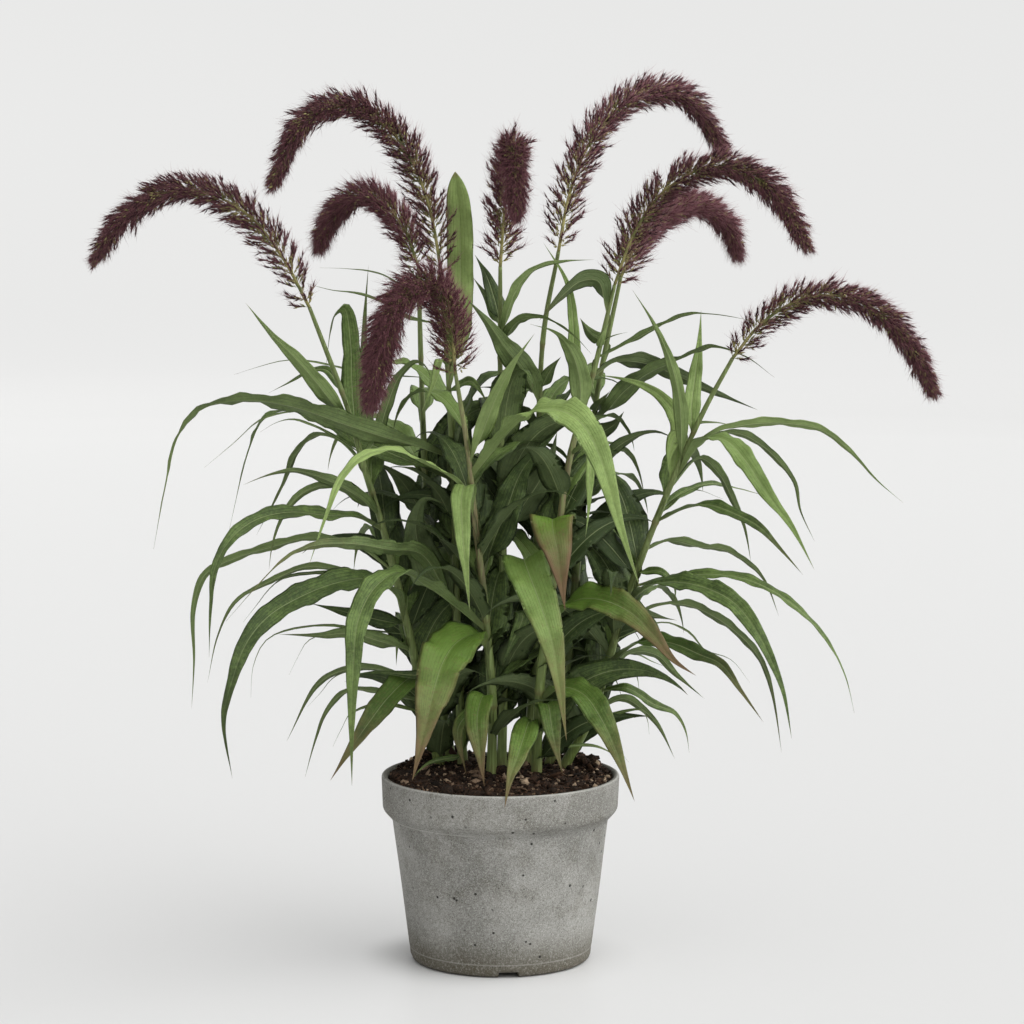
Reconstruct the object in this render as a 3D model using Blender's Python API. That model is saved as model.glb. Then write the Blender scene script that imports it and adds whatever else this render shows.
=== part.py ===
"""Potted ornamental millet: a grey pot of soil, nine stems with arching plumes, and long leaves.

Metres, +Z up. The origin is on the ground under the middle of the pot, and -Y is the front.
Routes are written in millimetres as (across, up, back). Across and up are read in the upright
plane through the pot's axis. Back slides the point away from the front along its line to the eye
point, so that it keeps its place in the front view.
"""

import math
from collections import namedtuple

import bmesh
import bpy
import numpy as np
from mathutils.bvhtree import BVHTree

MM = 0.001
EYE = np.array([11.5, -3400.0, 850.0])

# The pot, in millimetres
POT_SEGMENTS = 32
RIM_RADIUS = 118.5
RIM_TOP = 186.0
BAND_FOOT = 152.5
BODY_TOP_RADIUS = 107.5
BODY_TOP = 142.0
FOOT_RADIUS = 90.0
FOOT_CHAMFER = 4.0
LIP_ROUND = 2.6
RIM_WALL_RADIUS = 109.5
RIM_WALL_FOOT = 163.0
WALL_RADIUS = 98.5
WALL_TOP = 140.0
FLOOR_RADIUS = 81.0
FLOOR_TOP = 16.0
NOTCH_WIDTH = 20.0
NOTCH_HEIGHT = 6.0
NOTCH_DEPTH = 22.0
NOTCH_TURN = 5.4

# The soil, in millimetres
SOIL_EDGE = 181.0
SOIL_MOUND = 4.5
SOIL_GAP = 0.5
SOIL_SEGMENTS = 24

# Stems, plumes and leaves, in millimetres
STEM_SIDES = 6
STEM_FOOT_RADIUS = 5.2
STEM_TOP_RADIUS = 1.9
STEM_JOINTS = 4
PLUME_SIDES = 7
PLUME_STATIONS = (0, 0.07, 0.16, 0.28, 0.45, 0.63, 0.8, 0.92, 0.975, 1)
PLUME_BODY = (0.14, 0.6, 0.85, 1, 1, 0.95, 0.85, 0.68, 0.45, 0.12)
PLUME_RADIUS = 20.5
FULL_PLUMES = {"front": 25.0, "small_left": 23.5, "small_right": 22.5}
JOINT_GAP = 0.4
LEAF_THICKNESS = 1.3
LEAF_FOLD = 0.2
LEAF_CLEARANCE = 1.0
SAMPLES = 49

Stem = namedtuple("Stem", "foot route")
Leaf = namedtuple("Leaf", "name stem at route width turns blunt", defaults=(False,))
Spray = namedtuple("Spray", "stem at heading length width rise")

# Each stem: its foot on the soil (x, y), then its route to the start of its plume
STEMS = {
    "far_left": Stem((-62, 58), [
        (-88, 315, 32), (-114, 425, 20), (-135, 495, 10), (-150, 550, 2), (-187, 650, -10),
    ]),
    "upper_left": Stem((-38, 44), [(-42, 300, 42), (-45, 430, 38), (-50, 560, 30), (-57, 680, 20)]),
    "small_left": Stem((-50, 72), [(-66, 320, 74), (-74, 480, 78), (-78, 600, 82), (-80, 690, 86)]),
    "centre": Stem((1, 30), [(3, 300, 32), (2, 450, 28), (0, 570, 20), (0, 690, 2)]),
    "front": Stem((-9, 6), [
        (-8, 250, 4), (-15, 350, -6), (-25, 440, -18), (-32, 510, -30), (-44, 585, -45),
    ]),
    "upper_right": Stem((26, 58), [(34, 300, 58), (37, 450, 52), (42, 620, 36), (57, 705, 20)]),
    "mid_right": Stem((36, 8), [
        (39, 270, 4), (52, 380, 0), (68, 500, -4), (90, 580, 4), (112, 672, 10),
    ]),
    "small_right": Stem((50, 66), [(66, 300, 70), (82, 460, 72), (97, 575, 70), (118, 680, 68)]),
    "far_right": Stem((64, 46), [
        (88, 240, 40), (128, 370, 20), (170, 480, 0), (200, 548, -10), (228, 600, -20),
    ]),
}

# Each plume, from the end of its stem to its tip
PLUMES = {
    "far_left": [
        (-187, 650, -10), (-215, 702, -8), (-252, 745, 2), (-310, 766, 22), (-365, 740, 44),
        (-400, 692, 60),
    ],
    "upper_left": [
        (-57, 680, 20), (-70, 750, 10), (-95, 808, -8), (-140, 845, -32), (-187, 835, -50),
        (-225, 765, -60),
    ],
    "small_left": [
        (-80, 690, 86), (-98, 734, 104), (-132, 760, 121), (-163, 740, 133), (-178, 707, 136),
    ],
    "centre": [
        (0, 690, 2), (4, 745, -8), (8, 792, -34), (12, 806, -66), (15, 782, -96), (16, 738, -112),
    ],
    "front": [
        (-44, 585, -45), (-50, 636, -64), (-68, 673, -92), (-98, 657, -118), (-117, 610, -134),
        (-128, 552, -142),
    ],
    "upper_right": [
        (57, 705, 20), (68, 762, 28), (90, 815, 44), (128, 853, 68), (176, 857, 90), (222, 797, 110),
    ],
    "mid_right": [
        (112, 672, 10), (132, 725, -2), (165, 768, -24), (213, 788, -50), (263, 767, -74),
        (303, 705, -90),
    ],
    "small_right": [(118, 680, 68), (143, 726, 97), (190, 750, 127), (220, 732, 142), (233, 700, 146)],
    "far_right": [
        (228, 600, -20), (258, 636, -30), (305, 661, -44), (360, 653, -58), (402, 612, -66),
        (428, 562, -70),
    ],
}

# Main leaves: stem, height of the base on it, route, widest breadth, and how far the blade is
# turned from broadside to the front (degrees) near its base, at its middle and at its tip
MAIN_LEAVES = [
    Leaf("leaf_front_broad", "front", 490, [
        (-5, 512, -38), (12, 532, -56), (34, 548, -80), (58, 549, -104), (80, 536, -126),
        (97, 506, -144), (119, 432, -170), (139, 370, -185),
    ], 40, (45, 12, 8)),
    Leaf("leaf_front_long", "mid_right", 372, [
        (36, 391, -14), (24, 401, -34), (27, 390, -56), (40, 355, -84), (53, 310, -110),
        (66, 218, -140),
    ], 44, (5, 5, 10)),
    Leaf("leaf_red_tipped", "mid_right", 430, [
        (52, 441, -16), (52, 430, -34), (57, 405, -50), (64, 350, -66),
    ], 46, (5, 5, 5)),
    Leaf("leaf_front_right", "mid_right", 340, [
        (75, 360, -20), (102, 360, -42), (130, 347, -64), (152, 325, -84), (172, 300, -104),
        (195, 284, -120),
    ], 37, (26, 10, 20)),
    Leaf("leaf_front_left", "front", 316, [
        (-26, 325, -16), (-43, 318, -38), (-57, 298, -62), (-68, 262, -88), (-77, 222, -110),
        (-88, 178, -130),
    ], 54, (12, 8, 15)),
    Leaf("leaf_left_bow", "front", 334, [
        (-44, 354, -24), (-70, 373, -44), (-99, 388, -70), (-124, 373, -94), (-141, 340, -116),
        (-146, 290, -132), (-148, 230, -144), (-148, 172, -150),
    ], 33, (50, 15, 15)),
    Leaf("leaf_low_right", "mid_right", 262, [
        (60, 273, -12), (82, 266, -34), (98, 245, -58), (113, 214, -84), (134, 157, -120),
    ], 33, (20, 8, 15)),
    Leaf("leaf_foot_centre", "mid_right", 232, [
        (29, 238, -14), (23, 222, -42), (16, 200, -76), (9, 178, -106), (4, 150, -128),
    ], 27, (8, 8, 8)),
    Leaf("leaf_foot_left", "front", 258, [
        (-17, 264, -16), (-23, 243, -36), (-21, 214, -54), (-16, 172, -76),
    ], 29, (8, 8, 8)),
    Leaf("leaf_left_bright", "front", 470, [
        (-50, 484, -36), (-75, 497, -56), (-103, 509, -78), (-132, 505, -100), (-156, 483, -120),
        (-170, 450, -136), (-190, 393, -150),
    ], 17, (55, 50, 35)),
    Leaf("leaf_hanging", "front", 452, [
        (-34, 474, -36), (-38, 462, -52), (-37, 425, -70), (-30, 347, -90),
    ], 22, (8, 8, 15)),
    Leaf("leaf_upright_bright", "front", 506, [
        (-18, 526, -40), (-5, 560, -52), (11, 592, -66), (34, 625, -80),
    ], 19, (10, 20, 35)),
    Leaf("leaf_inner_broad", "front", 392, [(-8, 415, -2), (6, 450, 2), (22, 490, 4), (58, 530, 0)],
         38, (15, 10, 20)),
    Leaf("leaf_inner_dark", "centre", 425, [(18, 448, 20), (38, 478, 18), (50, 502, 20), (56, 528, 24)],
         34, (15, 10, 20)),
    Leaf("leaf_curled_left", "upper_left", 355, [
        (-66, 384, 24), (-81, 415, 10), (-83, 442, 0), (-74, 461, -8), (-56, 457, -16),
    ], 40, (10, 10, 20)),
    Leaf("leaf_top_blunt", "upper_left", 590, [
        (-40, 640, 24), (-39, 695, 24), (-40, 742, 20), (-44, 783, 12),
    ], 27, (10, 5, 5), True),
    Leaf("leaf_top_arch", "centre", 622, [
        (8, 650, -4), (20, 675, -8), (38, 690, -8), (62, 695, -4), (92, 697, 6),
    ], 13, (40, 45, 50)),
    Leaf("leaf_centre_broad", "upper_right", 556, [
        (20, 590, 8), (3, 613, -8), (-13, 636, -12), (-34, 660, -12),
    ], 31, (18, 12, 25)),
    Leaf("leaf_bent_top", "mid_right", 545, [
        (78, 580, -12), (70, 606, -24), (54, 625, -40), (29, 634, -54),
    ], 23, (15, 25, 50)),
    Leaf("leaf_right_under", "mid_right", 650, [
        (96, 676, 2), (79, 676, -2), (60, 661, -6), (38, 637, -8),
    ], 21, (45, 30, 20)),
    Leaf("leaf_right_upright", "mid_right", 560, [
        (73, 595, 14), (71, 640, 18), (65, 675, 18), (42, 714, 12),
    ], 14, (20, 15, 30)),
    Leaf("leaf_left_lance", "far_left", 538, [
        (-165, 556, -14), (-183, 579, -26), (-204, 603, -38), (-224, 623, -48), (-250, 655, -60),
    ], 19, (15, 12, 30)),
    Leaf("leaf_left_long", "upper_left", 500, [
        (-80, 513, 8), (-115, 523, -2), (-155, 536, -14), (-205, 553, -28), (-252, 559, -40),
        (-292, 551, -50), (-316, 526, -56), (-331, 470, -60), (-343, 410, -60),
    ], 27, (30, 63, 66)),
    Leaf("leaf_left_second", "upper_left", 478, [
        (-100, 503, 28), (-140, 521, 32), (-178, 541, 38), (-208, 549, 44), (-232, 541, 50),
        (-247, 512, 56), (-268, 430, 60),
    ], 26, (22, 68, 62)),
    Leaf("leaf_left_shoulder", "far_left", 430, [
        (-140, 443, -4), (-175, 445, -24), (-207, 448, -46), (-240, 441, -66), (-264, 424, -84),
        (-281, 396, -98), (-287, 350, -108), (-289, 302, -110),
    ], 21, (40, 30, 60)),
    Leaf("leaf_left_outer", "far_left", 390, [
        (-140, 414, 24), (-185, 423, 38), (-225, 414, 52), (-263, 402, 66), (-292, 386, 78),
        (-304, 352, 86), (-304, 300, 90), (-307, 250, 90),
    ], 14, (50, 35, 20)),
    Leaf("leaf_left_waist", "upper_left", 392, [
        (-75, 404, 14), (-110, 411, -16), (-150, 417, -48), (-187, 414, -80), (-215, 400, -108),
        (-240, 375, -132), (-273, 338, -150),
    ], 21, (45, 25, 40)),
    Leaf("leaf_left_broad", "far_left", 340, [
        (-103, 365, 8), (-127, 381, -12), (-160, 378, -34), (-197, 364, -56), (-230, 344, -76),
        (-252, 317, -94), (-266, 280, -108), (-275, 240, -116), (-267, 180, -120),
    ], 31, (35, 15, 50)),
    Leaf("leaf_left_low", "far_left", 275, [
        (-92, 281, 8), (-112, 262, -10), (-131, 237, -26), (-149, 211, -40), (-170, 178, -54),
    ], 29, (20, 10, 20)),
    Leaf("leaf_right_dark", "mid_right", 585, [
        (112, 597, 14), (140, 596, 26), (172, 584, 40), (205, 569, 54), (254, 549, 70),
    ], 21, (35, 25, 35)),
    Leaf("leaf_right_rise", "small_right", 535, [
        (104, 548, 48), (121, 567, 34), (144, 585, 24), (175, 599, 18), (208, 611, 14), (240, 602, 12),
        (270, 581, 10),
    ], 21, (20, 68, 75)),
    Leaf("leaf_right_cross", "far_right", 500, [
        (178, 536, -16), (175, 566, -26), (166, 600, -38), (150, 635, -50), (129, 668, -60),
    ], 15, (20, 15, 25)),
    Leaf("leaf_right_lance", "far_right", 525, [
        (188, 552, 10), (191, 580, 24), (195, 612, 36), (197, 648, 44),
    ], 18, (15, 10, 20)),
    Leaf("leaf_right_long", "far_right", 514, [
        (215, 529, -12), (250, 536, -2), (286, 536, 8), (318, 529, 18), (346, 507, 28), (372, 479, 36),
        (398, 457, 42),
    ], 13, (40, 40, 60)),
    Leaf("leaf_right_broad", "far_right", 490, [
        (200, 519, -22), (222, 519, -46), (243, 497, -72), (264, 465, -98), (288, 433, -122),
        (311, 390, -140),
    ], 25, (45, 10, 20)),
    Leaf("leaf_right_bent", "far_right", 440, [
        (182, 452, -16), (206, 455, -34), (232, 446, -52), (256, 433, -68), (277, 411, -84),
        (300, 385, -100),
    ], 17, (60, 25, 30)),
    Leaf("leaf_right_outer", "far_right", 372, [
        (168, 382, 4), (205, 386, -10), (240, 382, -22), (272, 368, -34), (302, 345, -44),
        (327, 315, -52), (343, 282, -58), (352, 246, -60),
    ], 15, (45, 45, 60)),
    Leaf("leaf_right_bow", "far_right", 358, [
        (150, 376, -18), (178, 378, -42), (207, 371, -68), (232, 357, -92), (252, 332, -114),
        (268, 302, -132), (281, 268, -144), (290, 220, -150),
    ], 26, (35, 15, 30)),
    Leaf("leaf_right_waist", "far_right", 336, [
        (155, 355, 30), (185, 356, 50), (214, 343, 70), (241, 322, 88), (260, 297, 102),
        (271, 262, 114), (280, 206, 120),
    ], 14, (40, 35, 50)),
    Leaf("leaf_right_low", "far_right", 296, [
        (140, 319, -6), (170, 317, -30), (197, 306, -52), (220, 295, -72), (239, 269, -92),
        (262, 237, -110),
    ], 22, (45, 20, 40)),
]

# Smaller leaves, fused to the stem that they grow from
SMALL_LEAVES = [
    Leaf("top_behind", "centre", 635, [(-7, 662, 22), (-14, 682, 28), (-25, 702, 32)],
         20, (20, 15, 20)),
    Leaf("edge_arch", "centre", 612, [(20, 638, -20), (45, 639, -28), (70, 624, -30), (90, 604, -30)],
         15, (70, 70, 60)),
    Leaf("left_crook", "far_left", 500, [
        (-121, 524, 2), (-112, 552, -6), (-99, 583, -12), (-82, 597, -18), (-70, 586, -24),
        (-71, 562, -26),
    ], 15, (30, 25, 25)),
    Leaf("beside_top", "upper_left", 565, [(-28, 577, 6), (-12, 556, -10)], 13, (20, 15, 20)),
    Leaf("inner_left", "small_left", 430, [(-100, 482, 50), (-125, 500, 42)], 26, (20, 15, 20)),
    Leaf("foot_small", "front", 232, [(-29, 246, -8), (-42, 232, -14), (-34, 184, -26)],
         16, (10, 10, 10)),
    Leaf("foot_right", "mid_right", 246, [
        (47, 256, -14), (51, 232, -30), (56, 208, -42), (62, 185, -48),
    ], 26, (10, 10, 10)),
    Leaf("left_thin", "far_left", 494, [
        (-160, 520, 30), (-182, 524, 44), (-201, 507, 58), (-214, 476, 70), (-241, 425, 84),
    ], 12, (45, 45, 50)),
    Leaf("left_mid", "far_left", 442, [
        (-142, 465, -14), (-173, 481, -24), (-203, 489, -32), (-228, 485, -38), (-254, 475, -40),
    ], 16, (35, 35, 40)),
    Leaf("left_spray", "far_left", 562, [
        (-170, 588, 18), (-186, 588, 26), (-206, 577, 36), (-228, 566, 46),
    ], 9, (45, 45, 45)),
    Leaf("left_folded", "far_left", 522, [
        (-146, 575, 22), (-147, 615, 24), (-153, 650, 16), (-163, 642, 4), (-172, 588, -4),
    ], 24, (20, 20, 20)),
    Leaf("left_tall", "far_left", 478, [
        (-131, 530, 30), (-134, 585, 44), (-133, 640, 56), (-129, 692, 64),
    ], 15, (15, 15, 25)),
    Leaf("left_slim", "far_left", 350, [
        (-112, 377, 24), (-150, 388, 28), (-190, 394, 32), (-226, 380, 36), (-262, 359, 40),
        (-280, 325, 44), (-291, 277, 46),
    ], 10, (40, 35, 45)),
    Leaf("left_spear", "far_left", 304, [
        (-118, 319, 12), (-148, 327, 8), (-178, 325, 4), (-220, 326, 2),
    ], 17, (30, 25, 30)),
    Leaf("left_drop", "far_left", 262, [
        (-115, 290, 34), (-152, 291, 44), (-181, 276, 54), (-213, 218, 64),
    ], 11, (40, 30, 30)),
    Leaf("left_wisp", "small_left", 240, [
        (-110, 266, 60), (-150, 270, 72), (-172, 250, 84), (-184, 220, 92), (-195, 181, 98),
    ], 10, (40, 40, 40)),
    Leaf("right_wisp", "mid_right", 600, [
        (122, 614, -2), (152, 630, -16), (182, 643, -30), (212, 643, -42), (248, 637, -52),
    ], 10, (55, 55, 55)),
    Leaf("right_glow", "far_right", 486, [
        (175, 538, 10), (160, 561, 16), (142, 573, 20), (120, 580, 22), (95, 584, 24),
    ], 19, (20, 20, 20)),
    Leaf("right_wave", "far_right", 528, [
        (232, 527, 24), (257, 515, 40), (277, 496, 54), (291, 476, 66), (296, 450, 74), (311, 418, 80),
    ], 11, (30, 30, 40)),
    Leaf("right_hang", "far_right", 478, [
        (196, 502, 18), (216, 486, 34), (229, 461, 50), (241, 433, 64), (248, 397, 76),
    ], 14, (30, 30, 40)),
    Leaf("right_slim", "far_right", 452, [
        (180, 467, 34), (206, 476, 58), (236, 471, 80), (262, 464, 98),
    ], 11, (55, 50, 50)),
    Leaf("right_grey", "far_right", 408, [
        (166, 420, 34), (196, 414, 54), (221, 411, 74), (247, 396, 92), (263, 377, 106),
        (276, 344, 118),
    ], 14, (45, 50, 60)),
    Leaf("right_foot", "far_right", 262, [
        (125, 272, 20), (152, 256, 28), (173, 247, 36), (184, 229, 42), (188, 206, 44),
    ], 12, (30, 25, 25)),
    Leaf("right_foot_low", "far_right", 236, [
        (120, 262, 34), (141, 251, 46), (157, 234, 56), (174, 200, 62),
    ], 11, (30, 25, 25)),
    Leaf("right_tucked", "far_right", 280, [
        (130, 308, 30), (156, 305, 40), (173, 287, 50), (203, 261, 60),
    ], 15, (40, 25, 40)),
]

# Leaves of the back, fused as well: one for each stem at each of these heights
BACK_HEIGHTS = (255, 345, 435, 515)
BACK_HEADINGS = (48, 132)
BACK_LENGTHS = (180, 290)
BACK_SHORTENING = 0.11
SHORT_STEMS = ("far_left", "far_right")
SHORT_STEM_DROP = 28
BACK_WIDTHS = (20, 30)
BACK_RINGS = 5
GOLDEN = (math.sqrt(5) - 1) / 2

FINISHES = {
    "pot_grey": ((0.245, 0.245, 0.232), 0.8),
    "soil_brown": ((0.045, 0.028, 0.019), 0.95),
    "stem_olive": ((0.17, 0.19, 0.075), 0.55),
    "leaf_green": ((0.085, 0.16, 0.045), 0.5),
    "plume_purple": ((0.085, 0.028, 0.04), 0.8),
}


def clear_scene():
    for thing in list(bpy.data.objects):
        bpy.data.objects.remove(thing, do_unlink=True)


def finish(name):
    """The named material, made the first time that it is asked for."""
    if name in bpy.data.materials:
        return bpy.data.materials[name]
    colour, roughness = FINISHES[name]
    material = bpy.data.materials.new(name)
    material.use_nodes = True
    shader = material.node_tree.nodes["Principled BSDF"]
    shader.inputs["Base Color"].default_value = (*colour, 1)
    shader.inputs["Roughness"].default_value = roughness
    shader.inputs["Metallic"].default_value = 0
    return material


def mesh_object(name, points, faces, finish_name, smooth=None):
    """An object of the points (mm) and faces, its normals facing out, smooth below an edge angle."""
    mesh = bpy.data.meshes.new(name)
    shape = bmesh.new()
    corners = [shape.verts.new(point) for point in (np.asarray(points) * MM).tolist()]
    for face in faces:
        shape.faces.new([corners[i] for i in face])
    bmesh.ops.recalc_face_normals(shape, faces=shape.faces)
    if shape.calc_volume(signed=True) < 0:
        bmesh.ops.reverse_faces(shape, faces=shape.faces)
    shape.to_mesh(mesh)
    shape.free()
    mesh.materials.append(finish(finish_name))
    if smooth is not None:
        mesh.shade_smooth()
        mesh.set_sharp_from_angle(angle=math.radians(smooth))
    thing = bpy.data.objects.new(name, mesh)
    bpy.context.scene.collection.objects.link(thing)
    return thing


def as_helper(thing):
    """Marks an object as one that only cuts or joins another."""
    thing.hide_render = True
    thing.display_type = "WIRE"
    return thing


def boolean(thing, other, operation, solver="EXACT"):
    modifier = thing.modifiers.new(other.name, "BOOLEAN")
    modifier.operation = operation
    modifier.solver = solver
    modifier.object = other


def ring_faces(rings, sides):
    """Quads between neighbouring rings of points, each ring closed round."""
    faces = []
    for ring in range(rings - 1):
        low = ring * sides
        for side in range(sides):
            after = (side + 1) % sides
            faces.append((low + side, low + after, low + sides + after, low + sides + side))
    return faces


def placed(point):
    """A point (across, up, back) as (x, y, z) in millimetres."""
    across, up, back = point
    flat = np.array([across, 0.0, up])
    return EYE + (flat - EYE) * (-EYE[1] + back) / -EYE[1]


def curve_through(points):
    """Evenly spaced points on a smooth curve through the given ones: cubic spans whose slopes are
    central differences over the root of the chord length."""
    points = np.asarray(points, float)
    knots = np.concatenate([[0], np.cumsum(np.sqrt(np.linalg.norm(np.diff(points, axis=0), axis=1)))])
    slopes = np.gradient(points, knots, axis=0)
    at = np.linspace(0, knots[-1], 8 * SAMPLES)
    span = np.clip(np.searchsorted(knots, at, side="right") - 1, 0, len(knots) - 2)
    size = (knots[span + 1] - knots[span])[:, None]
    t = (at - knots[span])[:, None] / size
    dense = (
        (1 + 2 * t) * (1 - t) ** 2 * points[span]
        + t * (1 - t) ** 2 * size * slopes[span]
        + t**2 * (3 - 2 * t) * points[span + 1]
        + t**2 * (t - 1) * size * slopes[span + 1]
    )
    run = np.concatenate([[0], np.cumsum(np.linalg.norm(np.diff(dense, axis=0), axis=1))])
    even = np.linspace(0, run[-1], SAMPLES)
    return np.stack([np.interp(even, run, dense[:, axis]) for axis in range(3)], axis=1), run[-1]


def unit(vectors):
    return vectors / np.linalg.norm(vectors, axis=-1, keepdims=True)


def tangents_of(curve):
    return unit(np.gradient(curve, axis=0))


def carried(start, vector, tangents):
    """The vector carried from station start to both ends of the curve with no twist."""
    sides = np.empty_like(tangents)
    sides[start] = unit(vector - tangents[start] * (vector @ tangents[start]))
    order = [(i, i - 1) for i in range(start + 1, len(tangents))]
    order += [(i, i + 1) for i in range(start - 1, -1, -1)]
    for station, before in order:
        side = sides[before] - tangents[station] * (sides[before] @ tangents[station])
        sides[station] = side / np.linalg.norm(side)
    return sides


def at_fractions(values, fractions):
    """The rows of an evenly spaced list read at the given fractions of its length."""
    even = np.linspace(0, 1, len(values))
    return np.stack([np.interp(fractions, even, values[:, axis]) for axis in range(3)], axis=1)


def soil_height(x, y):
    """The soil's surface: a low mound with two slow waves."""
    radius = math.hypot(x, y) / RIM_RADIUS
    return SOIL_EDGE + SOIL_MOUND * (1 - radius**2) + 0.7 * math.sin(x / 21) * math.cos(y / 17)


def make_pot():
    """A turned pot, its profile run from the middle of the base up the outside and down the inside."""
    flare = (BODY_TOP_RADIUS - FOOT_RADIUS) / (BODY_TOP - FOOT_CHAMFER)
    above_notch = NOTCH_HEIGHT + 2
    profile = [
        (84.5, 0), (88.5, 1.4), (FOOT_RADIUS, FOOT_CHAMFER),
        (FOOT_RADIUS + flare * (above_notch - FOOT_CHAMFER), above_notch),
        (BODY_TOP_RADIUS, BODY_TOP), (117, BAND_FOOT),
        (RIM_RADIUS, RIM_TOP - LIP_ROUND), (116.8, RIM_TOP), (114.4, RIM_TOP), (113, RIM_TOP - LIP_ROUND),
        (RIM_WALL_RADIUS, RIM_WALL_FOOT), (WALL_RADIUS, WALL_TOP), (FLOOR_RADIUS, FLOOR_TOP),
    ]
    angles = np.linspace(0, 2 * math.pi, POT_SEGMENTS, endpoint=False)
    points = [(0, 0, 0), (0, 0, FLOOR_TOP)]
    points += [(r * math.cos(a), r * math.sin(a), z) for r, z in profile for a in angles]
    faces = [tuple(2 + i for i in face) for face in ring_faces(len(profile), POT_SEGMENTS)]
    last = 2 + (len(profile) - 1) * POT_SEGMENTS
    for side in range(POT_SEGMENTS):
        after = (side + 1) % POT_SEGMENTS
        faces.append((0, 2 + after, 2 + side))
        faces.append((1, last + side, last + after))
    pot = mesh_object("pot", points, faces, "pot_grey", smooth=35)
    for quarter in range(4):
        boolean(pot, make_notch_cutter(quarter), "DIFFERENCE")


def make_notch_cutter(quarter):
    """A block that cuts one drain notch from the foot inwards."""
    turn = math.radians(-90 + NOTCH_TURN + 90 * quarter)
    inner, outer = FOOT_RADIUS - NOTCH_DEPTH, FOOT_RADIUS + 10
    half = NOTCH_WIDTH / 2
    block = [
        (r, w, z)
        for r in (inner, outer)
        for w, z in ((-half, -5), (half, -5), (half * 0.8, NOTCH_HEIGHT), (-half * 0.8, NOTCH_HEIGHT))
    ]
    points = [
        (r * math.cos(turn) - w * math.sin(turn), r * math.sin(turn) + w * math.cos(turn), z)
        for r, w, z in block
    ]
    faces = ring_faces(2, 4) + [(0, 1, 2, 3), (4, 5, 6, 7)]
    return as_helper(mesh_object(f"notch_cutter_{quarter + 1}", points, faces, "pot_grey"))


def make_soil():
    """The soil fills the pot: a turned plug under a mounded top of four rings and a middle point."""
    angles = np.linspace(0, 2 * math.pi, SOIL_SEGMENTS, endpoint=False)
    flat = math.cos(math.pi / SOIL_SEGMENTS)
    walls = [
        (FLOOR_RADIUS - 3 * SOIL_GAP, FLOOR_TOP + SOIL_GAP),
        (WALL_RADIUS * flat - SOIL_GAP, WALL_TOP),
        (RIM_WALL_RADIUS * flat - SOIL_GAP, RIM_WALL_FOOT),
    ]
    top_radii = (111.0, 78, 40)
    points = [(0, 0, FLOOR_TOP + SOIL_GAP), (0, 0, soil_height(0, 0))]
    points += [(r * math.cos(a), r * math.sin(a), z) for r, z in walls for a in angles]
    points += [
        (r * math.cos(a), r * math.sin(a), soil_height(r * math.cos(a), r * math.sin(a)))
        for r in top_radii
        for a in angles
    ]
    rings = len(walls) + len(top_radii)
    faces = [tuple(2 + i for i in face) for face in ring_faces(rings, SOIL_SEGMENTS)]
    last = 2 + (rings - 1) * SOIL_SEGMENTS
    for side in range(SOIL_SEGMENTS):
        after = (side + 1) % SOIL_SEGMENTS
        faces.append((0, 2 + after, 2 + side))
        faces.append((1, last + side, last + after))
    mesh_object("soil", points, faces, "soil_brown", smooth=50)


def stem_radius(fraction):
    return STEM_FOOT_RADIUS + (STEM_TOP_RADIUS - STEM_FOOT_RADIUS) * fraction**0.8


def stem_curve(name):
    """A stem's evenly spaced centre line, from just above the soil to its plume."""
    x, y = STEMS[name].foot
    foot = np.array([x, y, soil_height(x, y) + SOIL_GAP + 0.5])
    curve, length = curve_through([foot] + [placed(point) for point in STEMS[name].route])
    return curve, length


def tube(centres, tangents, radii, sides, turns):
    """Rings of points round the centres, as one array of rings by sides by three."""
    across = carried(0, np.array([1.0, 0.2, 0.0]), tangents)
    over = np.cross(tangents, across)
    angle = 2 * math.pi * np.arange(sides) / sides + np.asarray(turns)[:, None]
    return centres[:, None] + radii * (
        np.cos(angle)[..., None] * across[:, None] + np.sin(angle)[..., None] * over[:, None]
    )


def capped(rings):
    """The points and faces of a tube closed by a flat face at each end."""
    count, sides = rings.shape[:2]
    faces = ring_faces(count, sides)
    faces.append(tuple(range(sides)))
    faces.append(tuple((count - 1) * sides + i for i in range(sides)))
    return rings.reshape(-1, 3), faces


def stem_shape(name):
    """A stem with swollen joints: at each joint it widens, then the leaf sheath tapers back to it."""
    curve, _ = stem_curve(name)
    fractions, swell = [0.0], [1.1]
    for joint in range(STEM_JOINTS):
        at = (joint + 0.75) / (STEM_JOINTS + 0.6)
        fractions += [at - 0.02, at, at + 0.025]
        swell += [1.0, 1.28, 1.14]
    fractions.append(1.0)
    swell.append(1.0)
    fractions, swell = np.array(fractions), np.array(swell)
    centres = at_fractions(curve, fractions)
    tangents = unit(at_fractions(tangents_of(curve), fractions))
    tangents[0] = (0, 0, 1)
    radii = (stem_radius(fractions) * swell)[:, None, None]
    return capped(tube(centres, tangents, radii, STEM_SIDES, np.zeros(len(fractions))))


def plume_shape(name):
    """A bristly brush as one long body: slim at its start, full from a quarter on, with a short tip."""
    curve, length = curve_through([placed(point) for point in PLUMES[name]])
    fractions = np.array(PLUME_STATIONS)
    radii = FULL_PLUMES.get(name, PLUME_RADIUS) * np.array(PLUME_BODY)
    fractions[0] = JOINT_GAP / length
    centres = at_fractions(curve, fractions)
    tangents = unit(at_fractions(tangents_of(curve), fractions))
    tangents[0] = tangents_of(stem_curve(name)[0])[-1]
    turns = np.zeros(len(fractions))
    return capped(tube(centres, tangents, radii[:, None, None], PLUME_SIDES, turns))


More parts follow.
